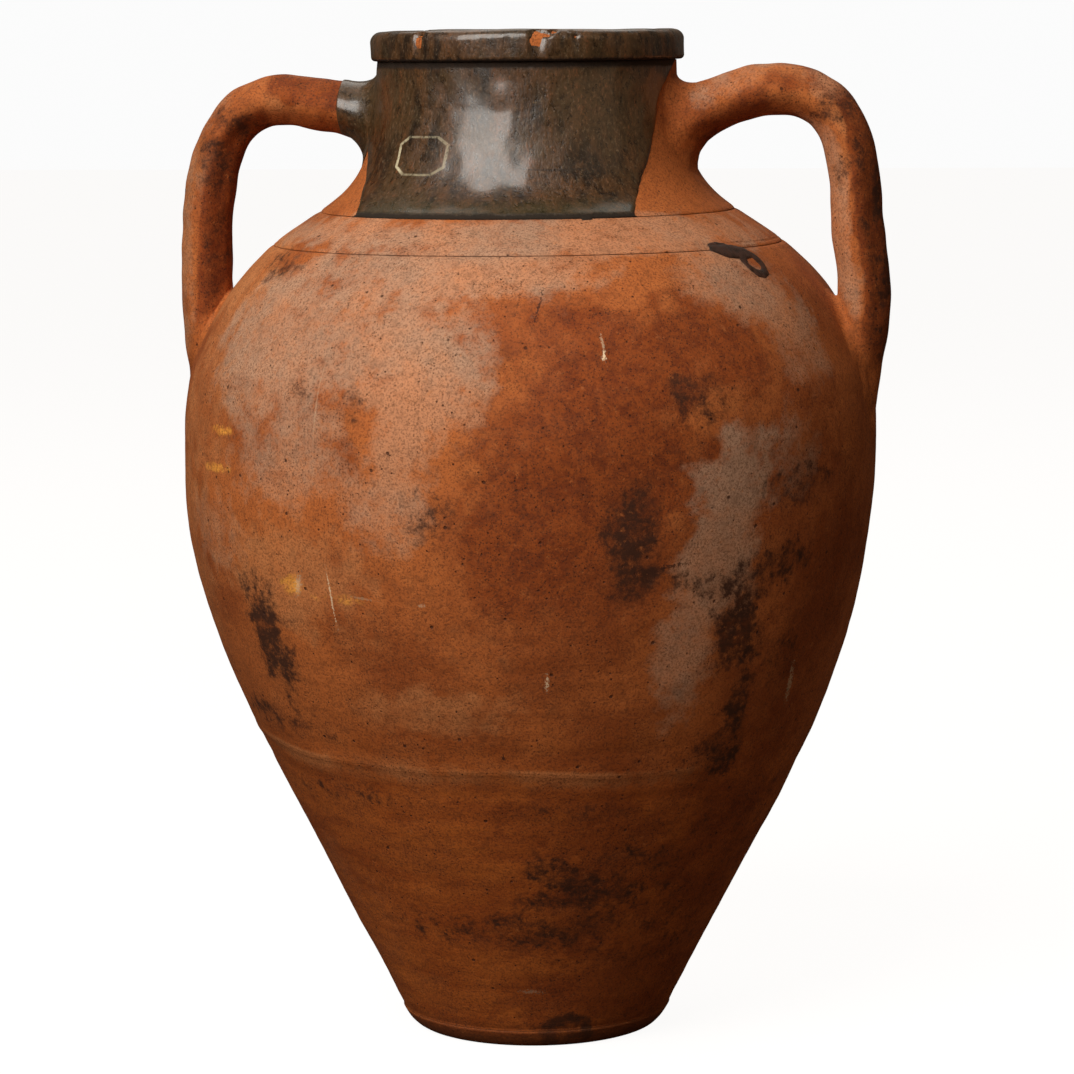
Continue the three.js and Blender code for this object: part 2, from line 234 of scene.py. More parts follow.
marks = {
    "washAndLight": [
        (-14, 388, 80, 20, 0, 0.8), (-34, 352, 60, 40, 0, 0.75), (-8, 348, 32, 44, 14, 0.95),
        (-30, 302, 52, 32, 0, 0.6), (-9, 308, 20, 34, 6, 0.8), (-10, 272, 26, 18, 0, 0.55),
        (8, 388, 50, 13, 0, 0.8), (0, 403, 200, 9, 0, 0.75), (45, 402, 80, 11, 0, 0.7),
        (57, 380, 40, 22, -22, 0.8), (64, 350, 26, 24, 0, 0.5), (-52, 262, 40, 24, 0, 0.4),
        (45, 286, 23, 36, 0, 1.0), (39, 214, 20, 40, -8, 0.85), (43, 246, 26, 22, 0, 0.9),
        (58, 306, 22, 26, 0, 0.5), (3, 356, 15, 28, 14, 0.7),
        (-50, 70, 34, 44, 0, 0.35), (160, 350, 90, 40, 0, 0.6),
        (215, 300, 60, 50, 20, 0.5), (120, 240, 50, 40, -20, 0.4), (-110, 360, 60, 30, 0, 0.5),
        (41, 306, 7, 7, 0, -1.0),
    ],
    "tan": [
        (-54, 330, 60, 66, 0, 0.45), (-30, 245, 60, 34, 0, 0.6), (-66, 250, 46, 60, 0, 0.4),
        (-70, 385, 60, 24, 0, 0.6), (5, 215, 46, 20, 0, 0.25), (180, 280, 80, 60, 0, 0.5),
        (-18, 150, 80, 9, 0, 0.5), (-5, 182, 46, 13, 0, 0.6), (-140, 250, 70, 60, 0, 0.5),
    ],
    "stainAndShade": [
        (22, 300, 60, 58, 0, 1.0), (30, 348, 52, 30, -8, 1.0), (11, 266, 40, 36, 0, 0.95),
        (46, 352, 42, 22, -12, 0.85), (22, 225, 52, 30, 0, 0.6), (62, 320, 36, 40, 0, 0.6),
        (41, 306, 6, 7, 0, 1.0), (70, 240, 60, 60, 0, 0.6), (-18, 305, 10, 16, 20, 0.75),
        (-26, 322, 9, 9, 0, 0.6), (-34, 336, 9, 8, 0, 0.5), (2, 392, 16, 6, 0, 0.5),
        (140, 300, 70, 50, 0, 0.7), (200, 220, 70, 40, 0, 0.6), (18, 128, 36, 15, 0, 0.8),
        (34, 98, 40, 30, 0, 0.9), (14, 68, 50, 22, 0, 0.7), (40, 28, 60, 26, 0, 0.8),
        (66, 80, 50, 60, 0, 0.5), (60, 150, 50, 40, 0, 0.6), (-100, 290, 60, 50, 0, 0.6),
        (5, 140, 60, 10, 0, 0.3),
    ],
    "sootAndShade": [
        (28, 262, 14, 28, 0, 0.85), (43, 241, 38, 7, -9, 0.6), (36, 330, 8, 10, 0, 0.4),
        (48, 217, 17, 20, 0, 1.0), (52, 176, 9, 24, 0, 0.8), (49, 154, 18, 10, 0, 0.7),
        (56, 250, 24, 14, 0, 0.55), (-39, 210, 17, 32, 10, 0.9),
        (-28, 330, 8, 9, 0, 0.4), (-17, 326, 9, 12, 0, 0.35), (-52, 388, 26, 8, 0, 0.55),
        (-4, 276, 16, 18, 0, 0.35), (16, 98, 20, 9, -20, 0.65), (26, 86, 34, 9, 0, 0.6),
        (40, 330, 16, 16, 0, 0.5), (60, 284, 30, 12, 0, 0.5), (-48, 170, 46, 9, -4, 0.45),
        # The two broad faint entries on the lower right, at heights 60 and 110, darken that side of the
        # body
        (60, 205, 18, 34, 0, 0.25), (40, 60, 60, 26, 0, 0.25), (70, 110, 60, 34, 0, 0.2),
        (18, 131, 30, 9, 0, 0.25), (34, 100, 26, 18, 0, 0.3), (15, 72, 34, 14, 0, 0.25),
        (17, 7, 4, 9, 0, 0.9), (20, 14, 7, 4, 20, 0.9), (25, 17, 8, 3, 0, 0.9),
        (30, 14, 7, 4, -20, 0.9), (33, 7, 4, 9, 0, 0.9), (25, 6, 14, 9, 0, 0.5),
        (-8, 66, 60, 12, 0, 0.3), (-30, 135, 60, 8, 0, 0.3),
        (190, 250, 26, 40, 0, 0.7), (165, 170, 20, 22, 0, 0.6), (240, 330, 30, 14, 0, 0.5),
    ],
    "ochre": [
        (-47, 311, 15, 3, 0, 0.55), (-49, 292, 20, 3, 0, 0.5), (-30, 240, 9, 6, 0, 0.45),
        (-20, 236, 22, 3, 0, 0.35), (150, 210, 16, 5, 0, 0.7),
    ],
}


def paintedMarks(angle, height, points):
    uneven = 0.09 * handSwell(points) + 0.1 * fingerSwell(points) + 0.06 * grainSwell(points)
    layers = {}
    for name, strokes in marks.items():
        layer = np.zeros(len(angle))
        for centre, level, halfWidth, halfHeight, tilt, strength in strokes:
            across = np.radians((angle - centre + 180) % 360 - 180) * wallRadius(height)
            up = height - level
            c, s = math.cos(math.radians(tilt)), math.sin(math.radians(tilt))
            reach = np.hypot((across * c + up * s) / halfWidth, (up * c - across * s) / halfHeight)
            mark = strength * (1 - smoothStep(0.4, 1.3, reach + uneven))
            layer = np.where(mark < 0, layer * (1 + mark), 1 - (1 - layer) * (1 - mark))
        layers[name] = layer
    above = height - seamHeight(angle)
    ridge = np.exp(-(above / np.where(above > 0, 2.2, 7)) ** 2) * seamStrength(angle) ** 2
    layers["rubbed"] = ridge * smoothStep(-1.6, 0.6, handSwell(points))
    return layers


def smudgesAndPaintedLight(points, strokes):
    # Marks on a handle, many of them painted light and shade: a place, how far it reaches in and along Z,
    # and its strength
    layer = np.zeros(len(points))
    uneven = 0.15 * handSwell(points) + 0.14 * fingerSwell(points)
    for x, y, z, reach, tall, strength in strokes:
        level = np.hypot(points[:, 0] - x, points[:, 1] - y)
        distance = np.hypot(level / reach, (points[:, 2] - z) / tall)
        layer = np.maximum(layer, strength * (1 - smoothStep(0.3, 1.2, distance + uneven)))
    return layer


def paintedHandleLightAndShade(mesh, points, layerName):
    # Painted light and shade on the handles: darker stain and soot on their faces towards +X, which lie
    # in shade, more so on the left handle, and paler wash on the faces towards -X, which the light falls
    # on
    flat = np.empty(len(mesh.vertices) * 3)
    mesh.vertices.foreach_get("normal", flat)
    facing = flat.reshape(-1, 3)[:, 0]
    uneven = 0.1 * handSwell(points) + 0.05 * fingerSwell(points)
    turned = facing + uneven + 0.18 * (points[:, 0] < 0)
    if layerName == "stainAndShade":
        return smoothStep(0.06, 0.36, turned)
    if layerName == "sootAndShade":
        return 0.35 * smoothStep(0.25, 0.7, turned)
    if layerName == "washAndLight":
        return (0.4 + 0.3 * (points[:, 0] > 0)) * smoothStep(0, 0.7, uneven - facing)
    return 0 * facing


def addLayer(mesh, name, values):
    layer = mesh.attributes.new(name, "FLOAT", "POINT")
    layer.data.foreach_set("value", np.asarray(values, dtype=np.float32))


def meshPoints(mesh):
    flat = np.empty(len(mesh.vertices) * 3)
    mesh.vertices.foreach_get("co", flat)
    return flat.reshape(-1, 3)


def outdoors(points):
    # No part of the piece looks into the jar
    return np.zeros(len(points))


def finishPiece(name, bm, nodes, slotName, shape=None, inside=None, extra=None):
    # Works the surface, paints the marks, gives the mesh to an object, hides the parts it replaces and
    # names its finish
    mesh = bpy.data.meshes.new(name)
    bm.to_mesh(mesh)
    bm.free()
    points = meshPoints(mesh)
    if shape:
        points = shape(points)
    angle, radius = polar(points)
    offWall = smoothStep(1, 14, radius - wallRadius(points[:, 2]))
    for layerName, values in paintedMarks(angle, points[:, 2], points).items():
        if extra:
            # On handles and their fillets the layers take the handle's marks and its painted light and
            # shade, fading out towards the wall
            own = smudgesAndPaintedLight(points, extra.get(layerName, []))
            own = np.maximum(own, paintedHandleLightAndShade(mesh, points, layerName))
            values = values + (own - values) * offWall
        addLayer(mesh, layerName, values)
    within = inside(points) if inside else radius < wallRadius(points[:, 2]) - 2.5
    addLayer(mesh, "within", within)
    mesh.vertices.foreach_set("co", (lean(points.copy()) * mm).ravel())
    mesh.update()
    mesh.shade_smooth()
    piece = bpy.data.objects.new(name, mesh)
    scene.collection.objects.link(piece)
    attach(piece, "root")
    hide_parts(*nodes)
    piece["finish"] = slotName
    return piece


def spun(profile, closed=True, steps=None):
    # A profile of (radius, height) turned once round the axis
    bm = bmesh.new()
    corners = [bm.verts.new((radius, 0, height)) for radius, height in profile]
    edges = [bm.edges.new(pair) for pair in zip(corners, corners[1:])]
    if closed:
        edges.append(bm.edges.new((corners[-1], corners[0])))
    bmesh.ops.spin(bm, geom=corners + edges, cent=(0, 0, 0), axis=(0, 0, 1), dvec=(0, 0, 0),
                   angle=2 * math.pi, steps=steps or jar["steps"], use_merge=True, use_duplicate=False)
    bmesh.ops.remove_doubles(bm, verts=bm.verts, dist=1e-4)
    bmesh.ops.recalc_face_normals(bm, faces=bm.faces)
    return bm


# Wall sections

section = {
    "row": 1.6,          # height of a row of faces outside
    "innerRow": 7,       # and inside
    "edgeRound": 0.9,    # rounding of the outer edge at a join
    "edgeRows": (0, 0.12, 0.4, 0.75, 1.1, 1.4, 1.65, 1.9, 2.15, 2.4, 2.65, 2.9, 3.2, 3.6),
}


def edgeInset(distance):
    # How far the outer face draws in near a join
    return section["edgeRound"] * np.clip(1 - distance / 1.9, 0, 1) ** 2.2


def wallProfile(low, high, roundLow, roundHigh):
    rows = np.array(section["edgeRows"])
    row = section["row"]
    middle = np.arange(low + rows[-1] + row, high - rows[-1] - 0.5 * row, row)
    heights = np.concatenate([low + rows, middle, high - rows[::-1]])
    radii = wallRadius(heights)
    radii = radii - roundLow * edgeInset(heights - low) - roundHigh * edgeInset(high - heights)
    inner = np.linspace(high, low, max(3, round((high - low) / section["innerRow"]) + 1))
    tilt = np.sqrt(1 + np.interp(inner, outlineHeights, outlineSlopes) ** 2)
    innerRadii = wallRadius(inner) - jar["wall"] * tilt
    return list(zip(radii, heights)) + list(zip(innerRadii, inner))


def worked(points):
    # Moves the outer skin out by the swell, and brings joins to the seam's line
    angle, radius = polar(points)
    height = points[:, 2].copy()
    climb = seamHeight(angle) - jar["seam"]
    height += climb * np.exp(-((height - jar["seam"]) / 22) ** 2)
    drawn = wallRadius(height) - wallRadius(points[:, 2])
    outer = smoothStep(-jar["wall"] * 0.8, -1.5, radius - wallRadius(points[:, 2]))
    radius = radius + drawn + surfaceOffset(angle, height) * outer
    size, spacing = hand["inside"]
    radius += (1 - outer) * size * np.sin(height / spacing + np.radians(angle))
    return place(angle, radius, height)


def makeWalls():
    joint = jar["joint"]
    # Lower and upper end, how much each end's edge is rounded, and the finish
    levels = {
        "lower_wall": (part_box("lower_wall")[0].z / mm, jar["seam"] + 0.2, 0.1, 0.3, "worn_clay"),
        "belly_wall": (jar["seam"] - 0.6, jar["shoulderLine"] - joint, 0.12, 0.8, "terracotta"),
        "shoulder": (jar["shoulderLine"] + joint, jar["neckLine"] - joint, 0.8, 1.0, "terracotta"),
        "neck": (jar["neckLine"] + joint, jar["lipFoot"], 1.0, 0, "terracotta"),
    }
    walls = {}
    for name, (low, high, roundLow, roundHigh, slotName) in levels.items():
        bm = spun(wallProfile(low, high, roundLow, roundHigh))
        walls[name] = finishPiece(name + "_worked", bm, [name], slotName, worked)
    return walls


foot = {
    "restRadius": 59.5,   # of the flat face it stands on
    "thickness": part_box("floor_slab")[1].z / mm,
    "top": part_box("lower_wall")[0].z / mm - 0.3,
}


def footWorked(points):
    angle, radius = polar(points)
    rim = smoothStep(foot["restRadius"] - 2, foot["restRadius"] + 5, radius)
    return place(angle, radius + rim * swellAt(angle, points[:, 2]), points[:, 2])


def makeFloorSlab():
    top = foot["top"]
    edge = wallRadius(top)
    rest = foot["restRadius"]
    slope = outlineSlopes[0]
    knee = (edge - slope * top * 0.85, top * 0.15)
    profile = [(0, 0), (rest * 0.4, 0), (rest * 0.8, 0), (rest - 1.5, 0)]
    for t in np.linspace(0, 1, 12):
        profile.append((rest * (1 - t) ** 2 + knee[0] * 2 * t * (1 - t) + edge * t * t,
                        knee[1] * 2 * t * (1 - t) + top * t * t))
    thick = foot["thickness"]
    profile += [(edge - 1, top + 0.25), (rest, top + 0.25), (rest - 0.5, thick), (30, thick), (0, thick)]
    bm = spun(profile, closed=False)
    return finishPiece("floor_slab_worked", bm, ["floor_slab"], "worn_clay", footWorked,
                       inside=lambda points: (points[:, 2] > foot["top"]).astype(float))


coils = {"sides": 16, "steps": 160}


def makeCoils():
    made = []
    for name in ("floor_coil", "seam_coil", "neck_coil"):
        low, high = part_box(name)
        outer = high.x / mm
        halfHeight = (high.z - low.z) / mm / 2
        middle = (high.z + low.z) / mm / 2
        profile = []
        for i in range(coils["sides"]):
            t = 2 * math.pi * i / coils["sides"]
            across = halfHeight * math.cos(t)
            profile.append((outer - halfHeight + across, middle + halfHeight * math.sin(t)))
        bm = spun(profile, steps=coils["steps"])

        def pinched(points):
            angle, radius = polar(points)
            inner = smoothStep(outer, outer - 2 * halfHeight, radius)
            dents = 0.35 * np.sin(np.radians(angle) * 31) + 0.3 * fingerSwell(points)
            return place(angle, radius + inner * dents, points[:, 2])

        made.append(finishPiece(name + "_pinched", bm, [name], "raw_clay", pinched,
                                inside=lambda points: np.ones(len(points))))
    return made


# Lip and its glaze

lip = {
    "foot": jar["lipFoot"] + 0.3,
    "top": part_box("lip")[1].z / mm,
    "outer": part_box("lip")[1].x / mm,
    "inner": 65.2,
    "footRound": 2.2,
    "outerRound": 5,
    "innerRound": 3.5,
    "glaze": 1.0,         # thickness of the glaze over the lip
    "steps": 420,
    "waves": ((0.35, 2, 0.6), (0.25, 3, 2), (0.12, 7, 0), (0.08, 13, 0)),
    "sag": 0.55,          # how far the rim lies below its highest place
    "chips": [  # angle, height, half-width, half-height, depth
        (20.5, 497.2, 10.5, 2.8, 1.9), (14.5, 495.6, 3.2, 3.2, 1.7), (-31, 496.4, 2.6, 2, 1.5),
        (-52, 498.5, 3, 1.4, 1.2), (128, 498.6, 6, 2.4, 1.7), (205, 495, 5, 3, 1.6),
        (-120, 498.8, 4, 2, 1.5),
    ],
}


def lipOutline(grow):
    # Outside of the lip from its foot over the top into the mouth, grown by the glaze
    low, top = lip["foot"], lip["top"] + grow
    outer, inner = lip["outer"] + grow, lip["inner"] - grow
    points = []
    for centre, rounding, start, end, count in (
        ((outer - lip["footRound"], low + lip["footRound"]), lip["footRound"], -90, 0, 7),
        ((outer - lip["outerRound"], top - lip["outerRound"]), lip["outerRound"], 0, 90, 12),
        ((inner + lip["innerRound"], top - lip["innerRound"]), lip["innerRound"], 90, 180, 9),
    ):
        for t in np.radians(np.linspace(start, end, count)):
            points.append((centre[0] + rounding * math.cos(t), centre[1] + rounding * math.sin(t)))
    return points


def lipWorked(points):
    # The rim rises and falls round the mouth
    angle, radius = polar(points)
    height = points[:, 2]
    rise = smoothStep(lip["foot"], lip["top"] - 4, height)
    swell = 0.25 * handSwell(points) + 0.1 * fingerSwell(points)
    return place(angle, radius + swell * rise, height + rise * (ripple(angle, lip["waves"]) - lip["sag"]))


def makeLip():
    low, inner = lip["foot"], lip["inner"]
    profile = lipOutline(0) + [(inner, low + 7), (inner, low), (inner + 4, low)]
    bm = spun(profile, steps=lip["steps"])
    return finishPiece("lip_worked", bm, ["lip"], "terracotta", lipWorked, inside=outdoors)


def lipGlazeWorked(points):
    angle, radius = polar(points)
    height = points[:, 2].copy()
    bite = np.zeros(len(points))
    ragged = 0.3 * fingerSwell(points) + 0.25 * grainSwell(points)
    for centre, level, halfWidth, halfHeight, depth in lip["chips"]:
        across = np.radians((angle - centre + 180) % 360 - 180) * lip["outer"]
        reach = np.hypot(across / halfWidth, (height - level) / halfHeight) + ragged
        bite = np.maximum(bite, depth * (1 - smoothStep(0.7, 1.05, reach)))
    middle = (lip["outer"] + lip["inner"]) / 2
    side = np.where(radius > middle, -1, 1)
    crown = smoothStep(lip["top"] - 3, lip["top"], height)
    thick = 0.12 * fingerSwell(points) + 0.06 * grainSwell(points)
    radius = radius + side * bite * (1 - 0.6 * crown) - side * thick * (1 - crown)
    height = height - bite * crown
    return lipWorked(place(angle, radius, height))


def makeLipGlaze():
    outerLine = lipOutline(lip["glaze"])
    innerLine = lipOutline(-0.5)
    drop = lip["top"] - 9
    outerLine.append((lip["inner"] - lip["glaze"], drop))
    innerLine.append((lip["inner"] + 0.5, drop + 0.4))
    bm = spun(outerLine + innerLine[::-1], steps=lip["steps"])
    return finishPiece("lip_glaze_skin", bm, ["lip_glaze"], "glaze", lipGlazeWorked, inside=outdoors)


# Glaze on the front of the neck: a coat that sinks into the clay outside its own outline

neckGlaze = {
    "thickness": 0.9,
    "row": 1.0,
    "girthRadius": 78,
    # edges: heights, and the angle that the glaze reaches there
    "leftEdge": [(411, -42), (414, -44), (426, -55), (436, -64), (441, -69), (450, -75), (484, -78)],
    "rightEdge": [(411, 41.5), (425, 50), (437, 57.5), (450, 64.5), (463, 69), (471, 74), (478, 81),
                  (484, 90)],
    "span": (-80, 94),   # angles between which the sheet is made
    "bead": 0.25,        # thicker run along the foot of the glaze
    "sink": 0.5,         # depth under the clay outside the edges
    "foot": 0.9,         # how far above the neck line the glaze ends
    "drips": ((1, 17, 0), (0.6, 41, 0)),
}


def grid(across, up, columns, rows):
    # A sheet of faces whose x and y run over the two ranges
    bm = bmesh.new()
    bmesh.ops.create_grid(bm, x_segments=columns, y_segments=rows, size=0.5)
    for v in bm.verts:
        v.co.x = across[0] + (v.co.x + 0.5) * (across[1] - across[0])
        v.co.y = up[0] + (v.co.y + 0.5) * (up[1] - up[0])
    return bm


def sheetPoints(bm):
    bm.verts.ensure_lookup_table()
    return np.array([v.co[:] for v in bm.verts])


def movePoints(bm, points):
    for v, point in zip(bm.verts, points):
        v.co = point


def turnOutward(bm, face, outward):
    # Turns a whole sheet over if this face of it looks the wrong way
    if face.normal.dot(Vector(outward)) < 0:
        bmesh.ops.reverse_faces(bm, faces=bm.faces)


def giveBack(bm, depth):
    # A hidden back, so that the sheet is closed
    bmesh.ops.solidify(bm, geom=bm.faces, thickness=depth)
    bmesh.ops.recalc_face_normals(bm, faces=bm.faces)


def coatSheet(bm, angle, height, stand, keepAbove):
    # Lays a sheet on the wall, drops what lies below it, and gives the rest a hidden back
    radius = surfaceRadius(angle, height) + stand
    movePoints(bm, place(angle, radius, height))
    low = stand < keepAbove
    stray = [f for f in bm.faces if all(low[v.index] for v in f.verts)]
    bmesh.ops.delete(bm, geom=stray, context="FACES")
    loose = [v for v in bm.verts if not v.link_faces]
    bmesh.ops.delete(bm, geom=loose, context="VERTS")
    bmesh.ops.recalc_face_normals(bm, faces=bm.faces)
    largest = max(bm.faces, key=lambda f: f.calc_area())
    turnOutward(bm, largest, (*largest.calc_center_median().xy, 0))
    giveBack(bm, 1.2)


def makeNeckGlaze():
    leftHeights, leftAngles = zip(*neckGlaze["leftEdge"])
    rightHeights, rightAngles = zip(*neckGlaze["rightEdge"])
    low = jar["neckLine"] - 1
    high = jar["lipFoot"] + 0.6
    length = math.radians(neckGlaze["span"][1] - neckGlaze["span"][0]) * neckGlaze["girthRadius"]
    columns, rows = round(length / neckGlaze["row"]), round((high - low) / neckGlaze["row"])
    bm = grid(neckGlaze["span"], (low, high), columns, rows)
    flat = sheetPoints(bm)
    angle, height = flat[:, 0], flat[:, 1]
    points = place(angle, wallRadius(height), height)
    ragged = 0.3 * fingerSwell(points) + 0.12 * grainSwell(points)
    degree = 0.75 * math.radians(1) * wallRadius(height)   # in millimetres, less as the edges run aslant
    fromLeft = (angle - np.interp(height, leftHeights, leftAngles)) * degree
    fromRight = (np.interp(height, rightHeights, rightAngles) - angle) * degree
    drips = 0.9 * np.clip(ripple(angle, neckGlaze["drips"]), 0, 2) ** 2
    drips *= smoothStep(2, 12, angle) * (1 - smoothStep(30, 40, angle))
    fromFoot = height - (jar["neckLine"] + neckGlaze["foot"] - 0.5 * drips)
    depth = np.minimum(np.minimum(fromLeft, fromRight), fromFoot) + ragged * 0.6
    stand = neckGlaze["thickness"] * (1 - np.exp(-np.clip(depth, 0, None) / 0.9))
    stand += neckGlaze["bead"] * np.exp(-((depth - 1.4) / 1.1) ** 2) * (fromFoot < 5)
    stand += 0.1 * fingerSwell(points) * smoothStep(0, 3, depth)
    stand = np.where(depth > 0, stand, np.maximum(depth, -neckGlaze["sink"]))
    coatSheet(bm, angle, height, stand, -0.45 * neckGlaze["sink"])
    return finishPiece("neck_glaze_coat", bm, ["neck_glaze"], "glaze", inside=outdoors)


# Splash of glaze on the right shoulder: a loop with a drop running into it

splash = {
    "angle": 64.6,
    "height": 388,
    "loop": (6.1, 7.6),                  # half-width and half-height of the open loop
    "wire": 2.6,                         # half the width of its run of glaze
    "drop": (-11, 8.6, 9.8, 5.2, -14),   # across, up, half-width, half-height, tilt
    "neck": (-3.5, 7.5, 6.5, 4, -26),
    "thickness": 0.55,
    "sheet": ((-26, 14), (-16, 19)),     # across and up
    "faces": (100, 88),
}


def blob(across, up, shape):
    x0, y0, halfWidth, halfHeight, tilt = shape
    c, s = math.cos(math.radians(tilt)), math.sin(math.radians(tilt))
    x, y = across - x0, up - y0
    reach = np.hypot((x * c + y * s) / halfWidth, (y * c - x * s) / halfHeight)
    return (1 - reach) * halfHeight


def makeSplash():
    bm = grid(*splash["sheet"], *splash["faces"])
    flat = sheetPoints(bm)
    across, up = flat[:, 0], flat[:, 1]
    wide, tall = splash["loop"]
    reach = np.hypot(across / wide, up / tall)
    ring = splash["wire"] - np.abs(reach - 1) * (wide + tall) / 2
    ring += 0.5 * np.sin(3 * np.arctan2(up, across) + 1)
    depth = np.maximum(ring, blob(across, up, splash["drop"]))
    depth = np.maximum(depth, blob(across, up, splash["neck"]))
    slope = np.interp(splash["height"], outlineHeights, outlineSlopes)
    rise = 1 / math.sqrt(1 + slope * slope)
    height = splash["height"] + up * rise
    angle = splash["angle"] + np.degrees(across / wallRadius(height))
    points = place(angle, wallRadius(height), height)
    depth = depth + 0.18 * fingerSwell(points) + 0.15 * grainSwell(points)
    stand = splash["thickness"] * (1 - np.exp(-np.clip(depth, 0, None) / 0.8))
    stand = np.where(depth > 0, stand / rise, np.maximum(depth, -0.5))
    coatSheet(bm, angle, height, stand, -0.3)
    made = finishPiece("shoulder_glaze_drip", bm, ["shoulder_glaze_splash"], "glaze", inside=outdoors)
    made["finish"] = "burnt_glaze"
    return made


# Handles: a pulled roll with a soft ridge down its front, its ends worked into the wall

handle = {
    "halfThickness": 13,
    "halfWidth": 15,
    "sides": 48,
    "steps": 150,
    "ridge": 1.3,            # soft ridge down the front and the back
    "swell": (0.4, 0.16),
    "arms": {
        # route: distance from the axis and height, from the neck to the belly
        "left": {
            "side": -1,
            "route": [(70, 454), (80, 457.5), (92, 461), (107, 463), (120, 465.2), (132, 464.8),
                      (143, 461), (150.5, 455), (158, 444.5), (163.2, 429), (166, 400), (166.8, 373),
                      (165.4, 343), (162.5, 318), (157, 300)],
        },
        "right": {
            "side": 1,
            "route": [(70, 451.5), (80, 455.5), (92, 461.2), (107, 466.3), (122, 469.3), (134, 468.4),
                      (143.5, 465), (151.5, 459), (158.5, 446), (163.6, 422), (166.4, 391),
                      (167, 368), (164.6, 342), (160.5, 314), (155, 296)],
        },
    },
    "rootLength": 15,
    "rootSpread": (13, 9),    # up and down the neck, and round it
    "tailLength": 10,
    "tailSpread": (20, 10),
}


# Marks on the handles: place, reach round it, reach up and down, and strength. The tan and wash strokes
# lie on the tops and on the faces towards -X and are painted light; the stain strokes and most soot
# strokes lie under the arms and on the faces towards +X and are painted shade
handleMarksAndPaintedLight = {
    "left": {
        "tan": [(-118, -10, 468, 30, 14, 0.5), (-176, -8, 400, 14, 60, 0.5),
                (-172, -6, 340, 14, 30, 0.5)],
        "washAndLight": [(-110, 0, 480, 26, 8, 0.4), (-168, -14, 430, 9, 30, 0.3)],
        "stainAndShade": [(-150, -8, 400, 14, 60, 0.7), (-152, 4, 350, 14, 40, 0.8),
                  (-100, -10, 450, 26, 8, 0.6)],
        "sootAndShade": [(-146, -10, 455, 12, 8, 0.5), (-158, -12, 432, 8, 18, 0.6), (-160, -10, 372, 9, 24, 0.5),
                 (-154, 6, 350, 12, 30, 0.6), (-128, -6, 452, 14, 6, 0.4), (-172, -12, 366, 6, 14, 0.4)],
    },
    "right": {
        "tan": [(120, -8, 476, 34, 12, 0.5), (158, -12, 400, 10, 60, 0.6), (158, -12, 340, 10, 30, 0.5)],
        "washAndLight": [(112, 0, 482, 30, 8, 0.7), (150, -4, 474, 16, 10, 0.6), (160, -14, 372, 10, 30, 0.6),
                 (90, -14, 468, 12, 8, 0.5)],
        "stainAndShade": [(174, -6, 400, 9, 70, 0.9), (86, -14, 446, 16, 14, 0.5), (172, -4, 330, 10, 40, 0.8)],
        "sootAndShade": [(117, -12, 468, 9, 6, 0.6), (157, -8, 462, 12, 9, 0.6), (160, -14, 428, 9, 12, 0.55),
                 (176, -6, 424, 6, 20, 0.8), (177, -4, 372, 6, 24, 0.8), (140, -10, 455, 16, 5, 0.4),
                 (166, -14, 340, 5, 20, 0.4), (175, 0, 336, 7, 16, 0.6), (128, -2, 482, 10, 5, 0.4)],
    },
}


def catmull(points, count):
    # Evenly spaced points on a smooth curve through a few
    points = np.array(points, dtype=float)
    ends = np.vstack([2 * points[0] - points[1], points, 2 * points[-1] - points[-2]])
    fine = []
    for i in range(len(points) - 1):
        a, b, c, d = ends[i:i + 4]
        t = np.linspace(0, 1, 40, endpoint=False)[:, None]
        fine.append(0.5 * (2 * b + (c - a) * t + (2 * a - 5 * b + 4 * c - d) * t * t
                           + (3 * b - a - 3 * c + d) * t ** 3))
    fine = np.vstack(fine + [points[-1:]])
    run = np.concatenate([[0], np.cumsum(np.linalg.norm(np.diff(fine, axis=0), axis=1))])
    even = np.linspace(0, run[-1], count)
    return np.stack([np.interp(even, run, fine[:, k]) for k in range(fine.shape[1])], axis=1), run[-1]


def handleSurface(name):
    # Points on a handle, by share of its length and turn round it: 0 is outward, 90 to the front
    spec = handle["arms"][name]
    route, length = catmull(spec["route"], 400)
    for _ in range(30):
        route[1:-1] = (route[:-2] + 2 * route[1:-1] + route[2:]) / 4
    steps = np.gradient(route, axis=0)
    steps /= np.linalg.norm(steps, axis=1)[:, None]
    outward = np.stack([-steps[:, 1], steps[:, 0]], axis=1)
    share = np.linspace(0, 1, len(route))

    def surface(t, turn, grow=0):
        x = np.interp(t, share, route[:, 0])
        z = np.interp(t, share, route[:, 1])
        nx = np.interp(t, share, outward[:, 0])
        nz = np.interp(t, share, outward[:, 1])
        c, s = np.cos(np.radians(turn)), np.sin(np.radians(turn))
        root = 1 - smoothStep(0, 0.13, t)
        squeeze = 1 - 0.05 * np.sin(math.pi * np.clip((t - 0.1) / 0.5, 0, 1))
        thick = handle["halfThickness"] * squeeze * (1 + 0.22 * root) + grow
        wide = handle["halfWidth"] * (1 + 0.1 * root) + grow
        away = np.abs(np.abs((turn + 180) % 360 - 180) - 90)   # degrees off the front or back line
        ridge = handle["ridge"] * np.exp(-(away / 24) ** 2)
        flat = -0.7 * np.exp(-((away - 45) / 18) ** 2)
        along = (thick + flat) * np.sign(c) * np.abs(c) ** 0.92
        front = (wide + flat) * s + np.sign(s) * ridge
        point = np.stack([spec["side"] * (x + nx * along), -front, z + nz * along], axis=-1)
        swell = handle["swell"][0] * handSwell(point) + handle["swell"][1] * fingerSwell(point)
        outwards = np.stack([spec["side"] * nx * c, -s, nz * c], axis=-1)
        return point + outwards * swell[:, None]

    return surface, length


def wrapSheet(columns, rows):
    # An open sleeve: turn runs over x, share over y
    return grid((0, 360), (0, 1), columns, rows)


